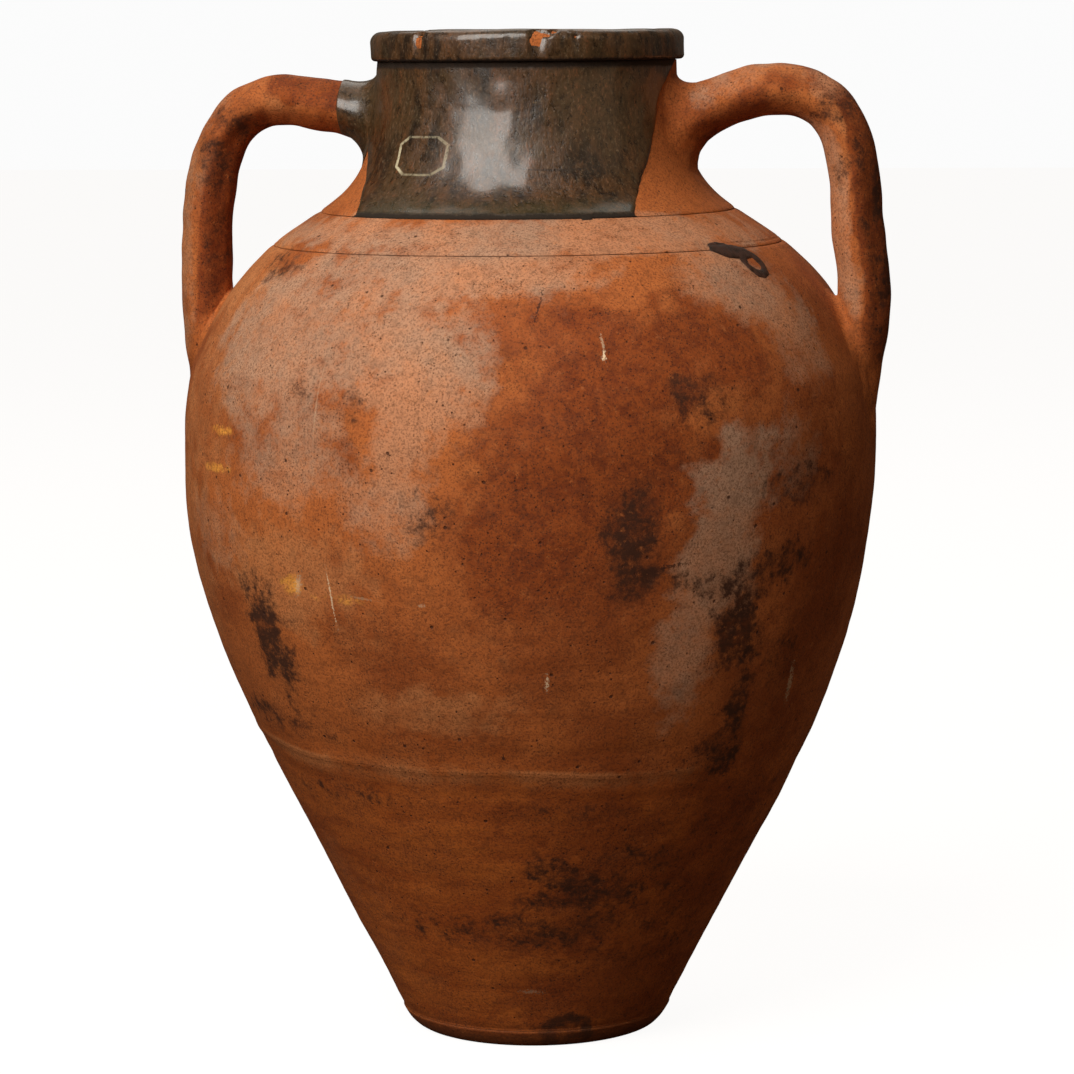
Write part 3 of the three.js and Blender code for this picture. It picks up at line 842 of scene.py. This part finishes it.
def closeSleeve(bm):
    # Merges the seam along the sleeve, and gives the edges of its open ends
    bmesh.ops.remove_doubles(bm, verts=bm.verts, dist=0.005)
    return [e for e in bm.edges if e.is_boundary]


def makeHandle(name):
    surface = handleSurface(name)[0]
    bm = wrapSheet(handle["sides"], handle["steps"])
    flat = sheetPoints(bm)
    movePoints(bm, surface(flat[:, 1], flat[:, 0]))
    bmesh.ops.holes_fill(bm, edges=closeSleeve(bm), sides=0)
    bmesh.ops.recalc_face_normals(bm, faces=bm.faces)
    return finishPiece(f"handle_{name}_pulled", bm, [f"handle_{name}"], "terracotta",
                       inside=outdoors, extra=handleMarksAndPaintedLight[name])


def wallGap(points):
    # Distance outside the worked wall, measured along the radius
    angle, radius = polar(points)
    return radius - surfaceRadius(angle, points[:, 2])


def meetings(surface, turns, atRoot):
    # Share of the handle's length where each line along it meets the wall
    shares = np.linspace(0, 1, 500)
    found = []
    for turn in turns:
        gaps = wallGap(surface(shares, np.full(len(shares), turn)))
        outside = np.nonzero(gaps > 0)[0]
        found.append(shares[outside[0]] if atRoot else shares[outside[-1]])
    return np.array(found)


def evened(values, passes):
    for _ in range(passes):
        values = (np.roll(values, 1) + 2 * values + np.roll(values, -1)) / 4
    return values


def collarSurface(name, atRoot, turns, rows):
    # Concave fillet from the handle to the wall, one strip for each line along the handle
    surface, length = handleSurface(name)
    meet = evened(meetings(surface, turns, atRoot), 6)
    reach = (handle["rootLength"] if atRoot else handle["tailLength"]) / length
    spreadUp, spreadRound = handle["rootSpread"] if atRoot else handle["tailSpread"]
    onHandle = surface(meet + (reach if atRoot else -reach), turns, -0.35)
    corner = surface(meet, turns)
    middle = surface(meet, turns, -8)
    away = corner - middle
    away /= np.linalg.norm(away, axis=1)[:, None]
    normal = place(polar(corner)[0], 1.0, 0.0)
    normal[:, 2] = -np.interp(corner[:, 2], outlineHeights, outlineSlopes)
    normal /= np.linalg.norm(normal, axis=1)[:, None]
    away -= normal * (away * normal).sum(axis=1)[:, None]
    away /= np.linalg.norm(away, axis=1)[:, None] + 1e-9
    if not atRoot:
        down = np.array([0.0, 0.0, -1.0]) - normal * (-normal[:, 2])[:, None]
        down /= np.linalg.norm(down, axis=1)[:, None]
        outer = (0.5 + 0.5 * np.cos(np.radians(turns)))[:, None]
        away = away * (1 - outer) + down * outer
        away /= np.linalg.norm(away, axis=1)[:, None]
    spread = spreadRound + (spreadUp - spreadRound) * np.abs(away[:, 2])
    onWall = corner + away * spread[:, None]
    wallAngle = polar(onWall)[0]
    onWall = place(wallAngle, surfaceRadius(wallAngle, onWall[:, 2]) - 0.35, onWall[:, 2])
    t = np.linspace(0, 1, rows)[:, None, None]
    curve = onHandle * (1 - t) ** 2 + corner * 2 * t * (1 - t) + onWall * t * t
    lift = 0.25 * np.sin(math.pi * t)
    return curve + lift * normal


collar = {"turns": 72, "rows": 16}


def makeWad(name, atRoot):
    turns = np.arange(collar["turns"] + 1) * 360 / collar["turns"]
    strips = collarSurface(name, atRoot, turns[:-1], collar["rows"] + 1)
    strips = np.concatenate([strips, strips[:, :1]], axis=1)
    bm = wrapSheet(collar["turns"], collar["rows"])
    flat = sheetPoints(bm)
    column = np.rint(flat[:, 0] / 360 * collar["turns"]).astype(int)
    row = np.rint(flat[:, 1] * collar["rows"]).astype(int)
    points = strips[row, column]
    free = np.sin(math.pi * flat[:, 1])
    swell = free * (0.35 * fingerSwell(points) + 0.12 * grainSwell(points))
    points = points + place(polar(points)[0], swell, 0 * swell)
    movePoints(bm, points)
    closeSleeve(bm)
    bmesh.ops.recalc_face_normals(bm, faces=bm.faces)
    outermost = max(bm.faces, key=lambda f: f.calc_center_median().xy.length)
    turnOutward(bm, outermost, (outermost.calc_center_median().x, 0, 0))
    giveBack(bm, 1.5)
    end = "neck" if atRoot else "tail"
    return finishPiece(f"handle_{name}_{end}_fillet", bm, [f"handle_{name}_{end}_wad"], "terracotta",
                       inside=outdoors, extra=handleMarksAndPaintedLight[name])


rootGlaze = {
    "edge": 94,          # distance from the axis where the glaze ends on the handle
    "turns": (-35, 165),
    "thickness": 0.7,
    "evening": 8,
    "rows": 34,
    "columns": 60,
}


def makeRootGlaze():
    turns = np.linspace(*rootGlaze["turns"], rootGlaze["columns"] + 1)
    rows = rootGlaze["rows"]
    wallRows = rows // 2
    strips = collarSurface("left", True, turns, wallRows + 1)[::-1]
    surface, length = handleSurface("left")
    start = meetings(surface, turns, True) + handle["rootLength"] / length
    ends = []
    for turn, first in zip(turns, start):
        shares = np.linspace(first, first + 0.2, 80)
        line = surface(shares, np.full(80, turn))
        ends.append(np.interp(rootGlaze["edge"], -line[:, 0], shares))
    rest = np.linspace(start, np.maximum(ends, start + 0.004), rows - wallRows + 1)[1:]
    onHandle = np.stack([surface(share, turns) for share in rest])
    strips = np.concatenate([strips, onHandle])
    for _ in range(rootGlaze["evening"]):
        strips[1:-1] = (strips[:-2] + 2 * strips[1:-1] + strips[2:]) / 4
    bm = grid((0, rootGlaze["columns"]), (0, rows), rootGlaze["columns"], rows)
    flat = sheetPoints(bm)
    column = np.rint(flat[:, 0]).astype(int)
    row = np.rint(flat[:, 1]).astype(int)
    movePoints(bm, strips[row, column])
    bmesh.ops.recalc_face_normals(bm, faces=bm.faces)
    front = min(bm.faces, key=lambda f: f.calc_center_median().y)
    turnOutward(bm, front, (0, -1, 0))
    bm.normal_update()
    bm.verts.ensure_lookup_table()
    share = flat / np.array([rootGlaze["columns"], rows, 1])
    edge = np.minimum(np.minimum(share[:, 0], 1 - share[:, 0]) * 9, (1 - share[:, 1]) * 14)
    stand = -0.3 + (rootGlaze["thickness"] + 0.3) * smoothStep(0, 0.8, edge)
    for v, rise in zip(bm.verts, stand):
        v.co += v.normal * float(rise)
    giveBack(bm, 1.0)
    return finishPiece("handle_root_glaze_coat", bm, ["handle_root_glaze"], "glaze", inside=outdoors)


print("walls")
pieces = makeWalls()
pieces["floor_slab"] = makeFloorSlab()
for coil in makeCoils():
    pieces[coil.name] = coil
print("lip and glazes")
pieces["lip"] = makeLip()
pieces["lip_glaze"] = makeLipGlaze()
pieces["neck_glaze"] = makeNeckGlaze()
pieces["splash"] = makeSplash()
print("handles")
for sideName in ("left", "right"):
    pieces[f"handle_{sideName}"] = makeHandle(sideName)
    pieces[f"handle_{sideName}_root"] = makeWad(sideName, True)
    pieces[f"handle_{sideName}_tail"] = makeWad(sideName, False)
pieces["root_glaze"] = makeRootGlaze()


# Materials. Patterns are in metres, on Object coordinates, broken up along the painted layers

def feed(tree, socket, value):
    if isinstance(value, bpy.types.NodeSocket):
        tree.links.new(value, socket)
    else:
        socket.default_value = value


def calc(tree, operation, a, b=0.0, c=None):
    made = tree.nodes.new("ShaderNodeMath")
    made.operation = operation
    feed(tree, made.inputs[0], a)
    feed(tree, made.inputs[1], b)
    if c is not None:
        feed(tree, made.inputs[2], c)
    return made.outputs[0]


def fade(tree, value, low, high, start=0.0, end=1.0):
    made = tree.nodes.new("ShaderNodeMapRange")
    made.interpolation_type = "SMOOTHSTEP"
    feed(tree, made.inputs["Value"], value)
    for name, number in (("From Min", low), ("From Max", high), ("To Min", start), ("To Max", end)):
        made.inputs[name].default_value = number
    return made.outputs["Result"]


def times(tree, a, b):
    return calc(tree, "MULTIPLY", a, b)


def tint(tree, share, under, over):
    made = tree.nodes.new("ShaderNodeMix")
    made.data_type = "RGBA"
    feed(tree, made.inputs["Factor"], share)
    for socket, value in ((made.inputs["A"], under), (made.inputs["B"], over)):
        feed(tree, socket, value if isinstance(value, bpy.types.NodeSocket) else (*value, 1))
    return made.outputs["Result"]


def objectPoint(tree, scale=(1, 1, 1), offset=(0, 0, 0)):
    coordinates = tree.nodes.new("ShaderNodeTexCoord")
    mapping = tree.nodes.new("ShaderNodeMapping")
    mapping.inputs["Scale"].default_value = scale
    mapping.inputs["Location"].default_value = offset
    tree.links.new(coordinates.outputs["Object"], mapping.inputs["Vector"])
    return mapping.outputs["Vector"]


def grain(tree, size, detail=3, roughness=0.55, stretch=(1, 1, 1), offset=(0, 0, 0)):
    # Noise whose lumps are about one size across, in millimetres
    made = tree.nodes.new("ShaderNodeTexNoise")
    tree.links.new(objectPoint(tree, stretch, offset), made.inputs["Vector"])
    made.inputs["Scale"].default_value = 1 / (size * mm)
    made.inputs["Detail"].default_value = detail
    made.inputs["Roughness"].default_value = roughness
    return made.outputs["Fac"]


def layerShare(tree, name):
    made = tree.nodes.new("ShaderNodeAttribute")
    made.attribute_name = name
    return made.outputs["Fac"]


def painted(tree, name, coarse, fine, rough=1.0, low=0.12, high=0.88):
    # A painted layer whose edges are soft, and broken up by coarse and fine noise
    share = layerShare(tree, name)
    uneven = calc(tree, "MULTIPLY_ADD", coarse, 1.5 * rough, -0.75 * rough)
    uneven = calc(tree, "ADD", uneven, calc(tree, "MULTIPLY_ADD", fine, 1.1 * rough, -0.55 * rough))
    present = fade(tree, share, 0.02, 0.3)
    return times(tree, fade(tree, calc(tree, "ADD", share, uneven), low, high), present)


def spots(tree, spacing, size, share, seed=0.0):
    # Round specks at random places: spacing and size in millimetres, share of the places that have one
    made = tree.nodes.new("ShaderNodeTexVoronoi")
    tree.links.new(objectPoint(tree, offset=(seed, seed, seed)), made.inputs["Vector"])
    made.inputs["Scale"].default_value = 1 / (spacing * mm)
    split = tree.nodes.new("ShaderNodeSeparateColor")
    tree.links.new(made.outputs["Color"], split.inputs["Color"])
    chosen = calc(tree, "GREATER_THAN", split.outputs[0], 1 - share)
    dot = fade(tree, made.outputs["Distance"], size / spacing / 2 * 1.25, size / spacing / 2 * 0.6)
    return times(tree, chosen, dot)


def axes(tree, point):
    split = tree.nodes.new("ShaderNodeSeparateXYZ")
    tree.links.new(point, split.inputs[0])
    return split.outputs


def markPoint(tree, angle, height, turn, halfSizes):
    # Position within one mark on the wall: 1 at its edge across, in depth and up
    coordinates = tree.nodes.new("ShaderNodeTexCoord")
    made = tree.nodes.new("ShaderNodeMapping")
    made.vector_type = "TEXTURE"
    made.inputs["Location"].default_value = place(angle, wallRadius(height), height) * mm
    made.inputs["Rotation"].default_value = turn
    made.inputs["Scale"].default_value = [size * mm for size in halfSizes]
    tree.links.new(coordinates.outputs["Object"], made.inputs["Vector"])
    return made.outputs["Vector"]


def mark(tree, angle, height, halfWidth, halfHeight, tilt=0.0):
    # Distance from the middle of one mark on the wall, 1 at its edge
    slope = np.interp(height, outlineHeights, outlineSlopes)
    turn = Matrix.Rotation(math.radians(angle), 4, "Z") @ Matrix.Rotation(-math.atan(slope), 4, "X")
    turn = turn @ Matrix.Rotation(math.radians(tilt), 4, "Y")
    length = tree.nodes.new("ShaderNodeVectorMath")
    length.operation = "LENGTH"
    point = markPoint(tree, angle, height, turn.to_euler(), (halfWidth, 12, halfHeight))
    tree.links.new(point, length.inputs[0])
    return length.outputs["Value"]


def joined(tree, values):
    total = values[0]
    for value in values[1:]:
        total = calc(tree, "MAXIMUM", total, value)
    return total


clay = {
    "base": (0.47, 0.13, 0.03),
    "baseDark": (0.3, 0.07, 0.014),
    "basePale": (0.56, 0.19, 0.055),
    "washAndLight": (0.46, 0.27, 0.17),
    "washPink": (0.56, 0.25, 0.125),
    "tan": (0.56, 0.21, 0.072),
    "stainAndShade": (0.19, 0.037, 0.007),
    "stainRed": (0.34, 0.075, 0.012),
    "sootAndShade": (0.03, 0.012, 0.007),
    "ochre": (0.95, 0.4, 0.06),
    "raw": (0.5, 0.24, 0.12),
    "pit": (0.05, 0.016, 0.008),
    "lower": (0.3, 0.06, 0.007),
    "lowerPale": (0.5, 0.128, 0.018),
    "dirtAndFootShade": (0.1, 0.03, 0.01),
    "chip": (0.82, 0.62, 0.4),
    # heights, in metres, over which the lower body's tone and the painted shade at the foot come in
    "lowerBand": (0.2, 0.12),
    "footShadeBand": (0.016, 0.002),
}

# Fine marks: angle, height, half-width, half-height, tilt and strength
scratches = {
    "pale": [
        (-22.3, 237, 0.5, 14, -4, 0.7), (-24, 330, 0.4, 52, 1, 0.22), (24, 350.5, 1.0, 1.3, 10, 1.0),
        (24, 355, 0.7, 4.5, -4, 0.4), (14.2, 198, 0.9, 3.0, 0, 0.7), (66, 186, 1.9, 9, -12, 0.4),
        (-29, 241, 2.2, 5, 20, 0.35), (10, 32, 5, 0.7, 0, 0.2), (-16, 237, 6, 0.5, 6, 0.2),
        (-6, 235, 1.6, 0.8, 0, 0.3),
    ],
    "dark": [
        (13.5, 372, 0.5, 11, 42, 0.85), (10, 377, 0.4, 6, 36, 0.5), (34, 252, 12, 1.1, -8, 0.8),
        (-33.5, 380, 0.4, 20, -14, 0.35), (6, 160, 0.9, 0.9, 0, 0.9),
    ],
}


def newMaterial(name):
    material = bpy.data.materials.new(name)
    material.use_nodes = True
    return material, material.node_tree, material.node_tree.nodes["Principled BSDF"]


def addBump(tree, height, strength, distance, under=None):
    made = tree.nodes.new("ShaderNodeBump")
    made.inputs["Strength"].default_value = strength
    made.inputs["Distance"].default_value = distance * mm
    feed(tree, made.inputs["Height"], height)
    if under is not None:
        tree.links.new(under, made.inputs["Normal"])
    return made.outputs["Normal"]


def clayMaterial(name, worn):
    material, tree, shader = newMaterial(name)
    cloud = grain(tree, 75, 8, 0.62)
    ragged = grain(tree, 24, 10, 0.7, offset=(0.3, 0.1, 0.2))
    mottle = grain(tree, 9, 7, 0.72, offset=(0.1, 0.8, 0.5))
    fleck = grain(tree, 3.4, 5, 0.75, offset=(0.7, 0.2, 0.4))
    dust = grain(tree, 1.1, 3, 0.75)
    streak = grain(tree, 60, 9, 0.68, stretch=(1, 1, 4), offset=(0.5, 0.5, 0.1))

    colour = tint(tree, fade(tree, cloud, 0.36, 0.6), clay["baseDark"], clay["base"])
    colour = tint(tree, fade(tree, ragged, 0.46, 0.72, 0, 0.5), colour, clay["basePale"])
    colour = tint(tree, painted(tree, "tan", ragged, mottle, 0.6), colour, clay["tan"])
    stainTone = tint(tree, fade(tree, mottle, 0.4, 0.62), clay["stainAndShade"], clay["stainRed"])
    washTone = tint(tree, fade(tree, cloud, 0.4, 0.6), clay["washAndLight"], clay["washPink"])
    # On the handles the stain, soot and wash layers also hold painted shade and painted light
    stainShare = painted(tree, "stainAndShade", ragged, mottle, 1.1, 0.1, 1.0)
    colour = tint(tree, stainShare, colour, stainTone)
    washAndLight = painted(tree, "washAndLight", ragged, fleck, 0.95, 0.08, 0.95)
    colour = tint(tree, times(tree, washAndLight, 0.9), colour, washTone)
    colour = tint(tree, painted(tree, "ochre", mottle, fleck, 1.4), colour, clay["ochre"])

    height = axes(tree, objectPoint(tree))["Z"]
    low = fade(tree, height, *clay["lowerBand"])
    lowTone = tint(tree, fade(tree, streak, 0.35, 0.66), clay["lower"], clay["lowerPale"])
    lowTone = tint(tree, fade(tree, ragged, 0.52, 0.7, 0, 0.5), lowTone, clay["baseDark"])
    colour = tint(tree, times(tree, low, 0.8 if worn else 0.7), colour, lowTone)
    colour = tint(tree, times(tree, stainShare, times(tree, low, 0.75)), colour, stainTone)
    rubbed = painted(tree, "rubbed", mottle, fleck, 0.9)
    colour = tint(tree, times(tree, rubbed, 0.7), colour, clay["tan"])

    sootAndShade = painted(tree, "sootAndShade", mottle, fleck, 1.9, 0.22, 1.05)
    colour = tint(tree, times(tree, sootAndShade, 0.97), colour, clay["sootAndShade"])
    haze = times(tree, painted(tree, "sootAndShade", ragged, mottle, 1.0, 0.02, 0.7), 0.28)
    colour = tint(tree, haze, colour, clay["dirtAndFootShade"])
    # Painted shade: darker at the foot, near the floor
    colour = tint(tree, fade(tree, height, *clay["footShadeBand"], 0, 0.75), colour, clay["dirtAndFootShade"])
    smoke = fade(tree, calc(tree, "ADD", streak, ragged), 1.04, 1.3, 0, 0.6)
    colour = tint(tree, smoke, colour, clay["baseDark"])

    pits = joined(tree, [spots(tree, 4.2, 1.0, 0.34), spots(tree, 9, 1.7, 0.3, 3.1)])
    pepper = joined(tree, [spots(tree, 1.7, 0.85, 0.5, 1.7), spots(tree, 1.1, 0.6, 0.35, 0.9)])
    stained = fade(tree, layerShare(tree, "stainAndShade"), 0.3, 0.9)
    peppered = times(tree, pepper, joined(tree, [fade(tree, ragged, 0.42, 0.62), stained]))
    shade = tint(tree, 0.55, colour, clay["pit"])
    colour = tint(tree, fade(tree, mottle, 0.5, 0.7, 0, 0.55), colour, shade)
    colour = tint(tree, fade(tree, dust, 0.37, 0.53), shade, colour)
    colour = tint(tree, fade(tree, fleck, 0.52, 0.66, 0, 0.6), colour, shade)
    colour = tint(tree, fade(tree, fleck, 0.42, 0.28, 0, 0.4), colour, clay["basePale"])
    colour = tint(tree, times(tree, peppered, 0.8), colour, clay["pit"])
    colour = tint(tree, times(tree, pits, 0.85), colour, clay["pit"])

    for kind, tone in (("pale", clay["chip"]), ("dark", clay["pit"])):
        for *where, strength in scratches[kind]:
            broken = calc(tree, "MULTIPLY_ADD", dust, 5.0, -2.3)
            reach = calc(tree, "ADD", mark(tree, *where), broken)
            colour = tint(tree, fade(tree, reach, 1.3, 0.6, 0, strength), colour, tone)

    rawTone = tint(tree, fade(tree, streak, 0.35, 0.65), clay["raw"], clay["basePale"])
    colour = tint(tree, layerShare(tree, "within"), colour, rawTone)
    tree.links.new(colour, shader.inputs["Base Color"])
    rough = fade(tree, ragged, 0.3, 0.7, 0.7, 0.9)
    tree.links.new(rough, shader.inputs["Roughness"])
    shader.inputs["Specular IOR Level"].default_value = 0.22
    relief = addBump(tree, dust, 0.4, 0.4)
    relief = addBump(tree, fleck, 0.35, 0.8, relief)
    relief = addBump(tree, streak, 0.3, 1.5, relief)
    relief = addBump(tree, calc(tree, "SUBTRACT", 1.0, pits), 0.8, 0.6, relief)
    tree.links.new(relief, shader.inputs["Normal"])
    return material


def rawClayMaterial():
    material, tree, shader = newMaterial("raw clay")
    patch = grain(tree, 18, 5, 0.6)
    dust = grain(tree, 1.6, 3, 0.7)
    colour = tint(tree, fade(tree, patch, 0.35, 0.65), clay["raw"], clay["basePale"])
    colour = tint(tree, fade(tree, dust, 0.6, 0.75, 0, 0.5), colour, clay["baseDark"])
    tree.links.new(colour, shader.inputs["Base Color"])
    tree.links.new(fade(tree, dust, 0.3, 0.7, 0.82, 0.95), shader.inputs["Roughness"])
    shader.inputs["Specular IOR Level"].default_value = 0.2
    relief = addBump(tree, dust, 0.5, 0.6)
    tree.links.new(addBump(tree, patch, 0.4, 1.5, relief), shader.inputs["Normal"])
    return material


glass = {
    "deep": (0.012, 0.0055, 0.002),
    "brown": (0.085, 0.036, 0.011),
    "olive": (0.062, 0.035, 0.012),
    "rust": (0.16, 0.045, 0.01),
    "green": (0.035, 0.036, 0.012),
    "scum": (0.2, 0.14, 0.08),
    "burnt": (0.055, 0.022, 0.013),
    "residue": (0.62, 0.55, 0.36),
    # bands of heights, in metres: where a band begins, is full, is still full and ends
    "pool": (0.4, 0.41, 0.419, 0.426),
    # painted shadow under the lip: a band where the glaze is darker, rougher and without coat
    "lipShadowBand": (0.4815, 0.4835, 0.4865, 0.4875),
    "atLine": (0.4, 0.406, 0.4135, 0.4155),
    # outline left by a worn-off label: angle, height, half-width, half-height
    "label": (-28, 439.5, 15.8, 9.4),
    "labelCut": 0.6308,   # how far the corners are cut
    "throwingLine": (22, 433, 32, 0.45),
}


def labelOutline(tree, ragged):
    # An eight-sided outline, worn away in places
    angle, height, halfWidth, halfHeight = glass["label"]
    turn = (0, 0, math.radians(angle))
    across, deep, up = axes(tree, markPoint(tree, angle, height, turn, (halfWidth, 40, halfHeight)))
    x = calc(tree, "ABSOLUTE", across)
    z = calc(tree, "ABSOLUTE", up)
    corner = times(tree, calc(tree, "ADD", x, z), glass["labelCut"])
    reach = joined(tree, [x, z, corner])
    near = fade(tree, deep, 0.9, 0.4)
    off = calc(tree, "ABSOLUTE", calc(tree, "SUBTRACT", reach, 0.95))
    line = fade(tree, off, 0.075, 0.03)
    kept = times(tree, fade(tree, across, -0.55, -0.8, 0.4, 1), fade(tree, ragged, 0.38, 0.52, 0.2, 0.9))
    return times(tree, times(tree, line, near), kept)


def band(tree, level, low, lowFull, highFull, high):
    # A stretch of heights that fades out below and above
    return times(tree, fade(tree, level, low, lowFull), fade(tree, level, high, highFull))


def glazeMaterial(name, burnt):
    material, tree, shader = newMaterial(name)
    cloud = grain(tree, 40, 5, 0.6)
    run = grain(tree, 9, 5, 0.7, stretch=(1, 1, 0.22))
    mottle = grain(tree, 3.2, 5, 0.75, stretch=(1, 1, 0.6), offset=(0.4, 0.3, 0.9))
    weave = grain(tree, 1.3, 3, 0.75, stretch=(1, 1, 0.6))
    colour = tint(tree, fade(tree, run, 0.38, 0.6), glass["deep"], glass["brown"])
    colour = tint(tree, fade(tree, cloud, 0.42, 0.62, 0, 0.7), colour, glass["olive"])
    colour = tint(tree, fade(tree, mottle, 0.5, 0.66, 0, 0.7), colour, glass["brown"])
    colour = tint(tree, fade(tree, weave, 0.53, 0.72, 0, 0.6), colour, glass["scum"])
    rusty = fade(tree, calc(tree, "ADD", run, weave), 1.1, 1.3, 0, 0.7)
    colour = tint(tree, rusty, colour, glass["rust"])
    colour = tint(tree, fade(tree, mottle, 0.48, 0.34, 0, 0.75), colour, glass["deep"])
    colour = tint(tree, fade(tree, weave, 0.45, 0.32, 0, 0.8), colour, glass["deep"])
    height = axes(tree, objectPoint(tree))["Z"]
    level = calc(tree, "MULTIPLY_ADD", mottle, 0.01, height)
    pooled = band(tree, level, *glass["pool"])
    colour = tint(tree, times(tree, pooled, 0.4), colour, glass["green"])
    # Painted shadow under the lip, and the dull dark foot of the glaze at the neck line
    level = calc(tree, "MULTIPLY_ADD", mottle, 0.003, height)
    lipShadowAndDullFoot = joined(tree, [band(tree, level, *glass[name]) for name in ("lipShadowBand", "atLine")])
    colour = tint(tree, times(tree, lipShadowAndDullFoot, 0.9), colour, glass["deep"])
    if burnt:
        colour = tint(tree, fade(tree, mottle, 0.35, 0.6), glass["deep"], glass["burnt"])
    line = mark(tree, *glass["throwingLine"])
    colour = tint(tree, fade(tree, line, 1, 0.6, 0, 0.55), colour, glass["deep"])
    colour = tint(tree, labelOutline(tree, mottle), colour, glass["residue"])
    tree.links.new(colour, shader.inputs["Base Color"])
    smooth = 0.42 if burnt else 0.24
    rough = fade(tree, mottle, 0.3, 0.7, smooth, smooth + 0.24)
    rough = calc(tree, "MAXIMUM", rough, times(tree, lipShadowAndDullFoot, 0.9))
    tree.links.new(rough, shader.inputs["Roughness"])
    shader.inputs["Specular IOR Level"].default_value = 0.3 if burnt else 0.45
    if not burnt:
        tree.links.new(fade(tree, lipShadowAndDullFoot, 0, 1, 0.65, 0), shader.inputs["Coat Weight"])
    shader.inputs["Coat Roughness"].default_value = 0.17
    relief = addBump(tree, weave, 0.55, 0.45)
    relief = addBump(tree, mottle, 0.4, 0.8, relief)
    tree.links.new(addBump(tree, run, 0.3, 1.2, relief), shader.inputs["Normal"])
    return material


print("materials")
finishes = {
    "terracotta": clayMaterial("terracotta", False),
    "worn_clay": clayMaterial("worn terracotta", True),
    "raw_clay": rawClayMaterial(),
    "glaze": glazeMaterial("dark glaze", False),
    "burnt_glaze": glazeMaterial("burnt glaze", True),
}
for piece in pieces.values():
    piece.data.materials.append(finishes[piece["finish"]])


# Floor, light and camera

# Colours that light the jar, then the colours that the camera sees
studio = {
    "floor": ((0.1, 0.07, 0.05), (0.1, 0.1, 0.1)),
    "floorGlow": 0.95,
    "floorSize": 12,
    "world": ((0.085, 0.07, 0.054), (0.97, 0.97, 0.97)),
}


def cameraShare(tree):
    return tree.nodes.new("ShaderNodeLightPath").outputs["Is Camera Ray"]


def makeFloor():
    bm = bmesh.new()
    bmesh.ops.create_grid(bm, x_segments=1, y_segments=1, size=studio["floorSize"])
    mesh = bpy.data.meshes.new("floor")
    bm.to_mesh(mesh)
    bm.free()
    floor = bpy.data.objects.new("floor", mesh)
    scene.collection.objects.link(floor)
    material, tree, shader = newMaterial("pale floor")
    shader.inputs["Roughness"].default_value = 0.9
    seen = cameraShare(tree)
    tree.links.new(tint(tree, seen, *studio["floor"]), shader.inputs["Base Color"])
    shader.inputs["Emission Color"].default_value = (1, 0.99, 0.98, 1)
    tree.links.new(times(tree, seen, studio["floorGlow"]), shader.inputs["Emission Strength"])
    mesh.materials.append(material)


lights = {
    "key": {"turn": -20, "lift": 40, "distance": 2.0, "size": (1.3, 1.8), "power": 51,
            "colour": (1, 0.96, 0.9), "aim": (0, 0, 0.33)},
    "fill": {"turn": 60, "lift": 25, "distance": 3.0, "size": (2.4, 2.4), "power": 6,
             "colour": (1, 0.72, 0.48), "aim": (0, 0, 0.3)},
    "back": {"turn": 190, "lift": 55, "distance": 3.0, "size": (2.4, 2.4), "power": 24,
             "colour": (1, 0.94, 0.86), "aim": (0, 0, 0.3)},
}


def makeLights():
    for name, spec in lights.items():
        turn, lift = math.radians(spec["turn"]), math.radians(spec["lift"])
        data = bpy.data.lights.new(name, "AREA")
        data.shape = "RECTANGLE"
        data.size, data.size_y = spec["size"]
        data.energy = spec["power"]
        data.color = spec["colour"]
        lamp = bpy.data.objects.new(name, data)
        aim = Vector(spec["aim"])
        away = Vector((math.sin(turn) * math.cos(lift), -math.cos(turn) * math.cos(lift), math.sin(lift)))
        lamp.location = aim + away * spec["distance"]
        lamp.rotation_euler = away.to_track_quat("Z", "Y").to_euler()
        scene.collection.objects.link(lamp)


def makeWorld():
    world = bpy.data.worlds.new("studio")
    world.use_nodes = True
    scene.world = world
    tree = world.node_tree
    sky = tint(tree, cameraShare(tree), *studio["world"])
    tree.links.new(sky, tree.nodes["Background"].inputs["Color"])


view = {
    "turn": 12,
    "distance": 1.975,
    "height": 0.5,
    "lens": 132.88,
    "tilt": 7.318,
    "yaw": -0.065,
    "roll": 0.55,
}


def makeCamera():
    data = bpy.data.cameras.new("camera")
    data.lens = view["lens"]
    data.sensor_width = 36
    data.clip_end = 50
    camera = bpy.data.objects.new("camera", data)
    turn = math.radians(view["turn"])
    away = view["distance"]
    camera.location = (away * math.sin(turn), -away * math.cos(turn), view["height"])
    aim = Matrix.Rotation(turn + math.radians(view["yaw"]), 4, "Z")
    aim = aim @ Matrix.Rotation(math.radians(90 - view["tilt"]), 4, "X")
    aim = aim @ Matrix.Rotation(math.radians(-view["roll"]), 4, "Z")
    camera.rotation_euler = aim.to_euler()
    scene.collection.objects.link(camera)
    scene.camera = camera


print("floor, lights and camera")
makeFloor()
makeLights()
makeWorld()
makeCamera()
scene.view_settings.view_transform = "Standard"
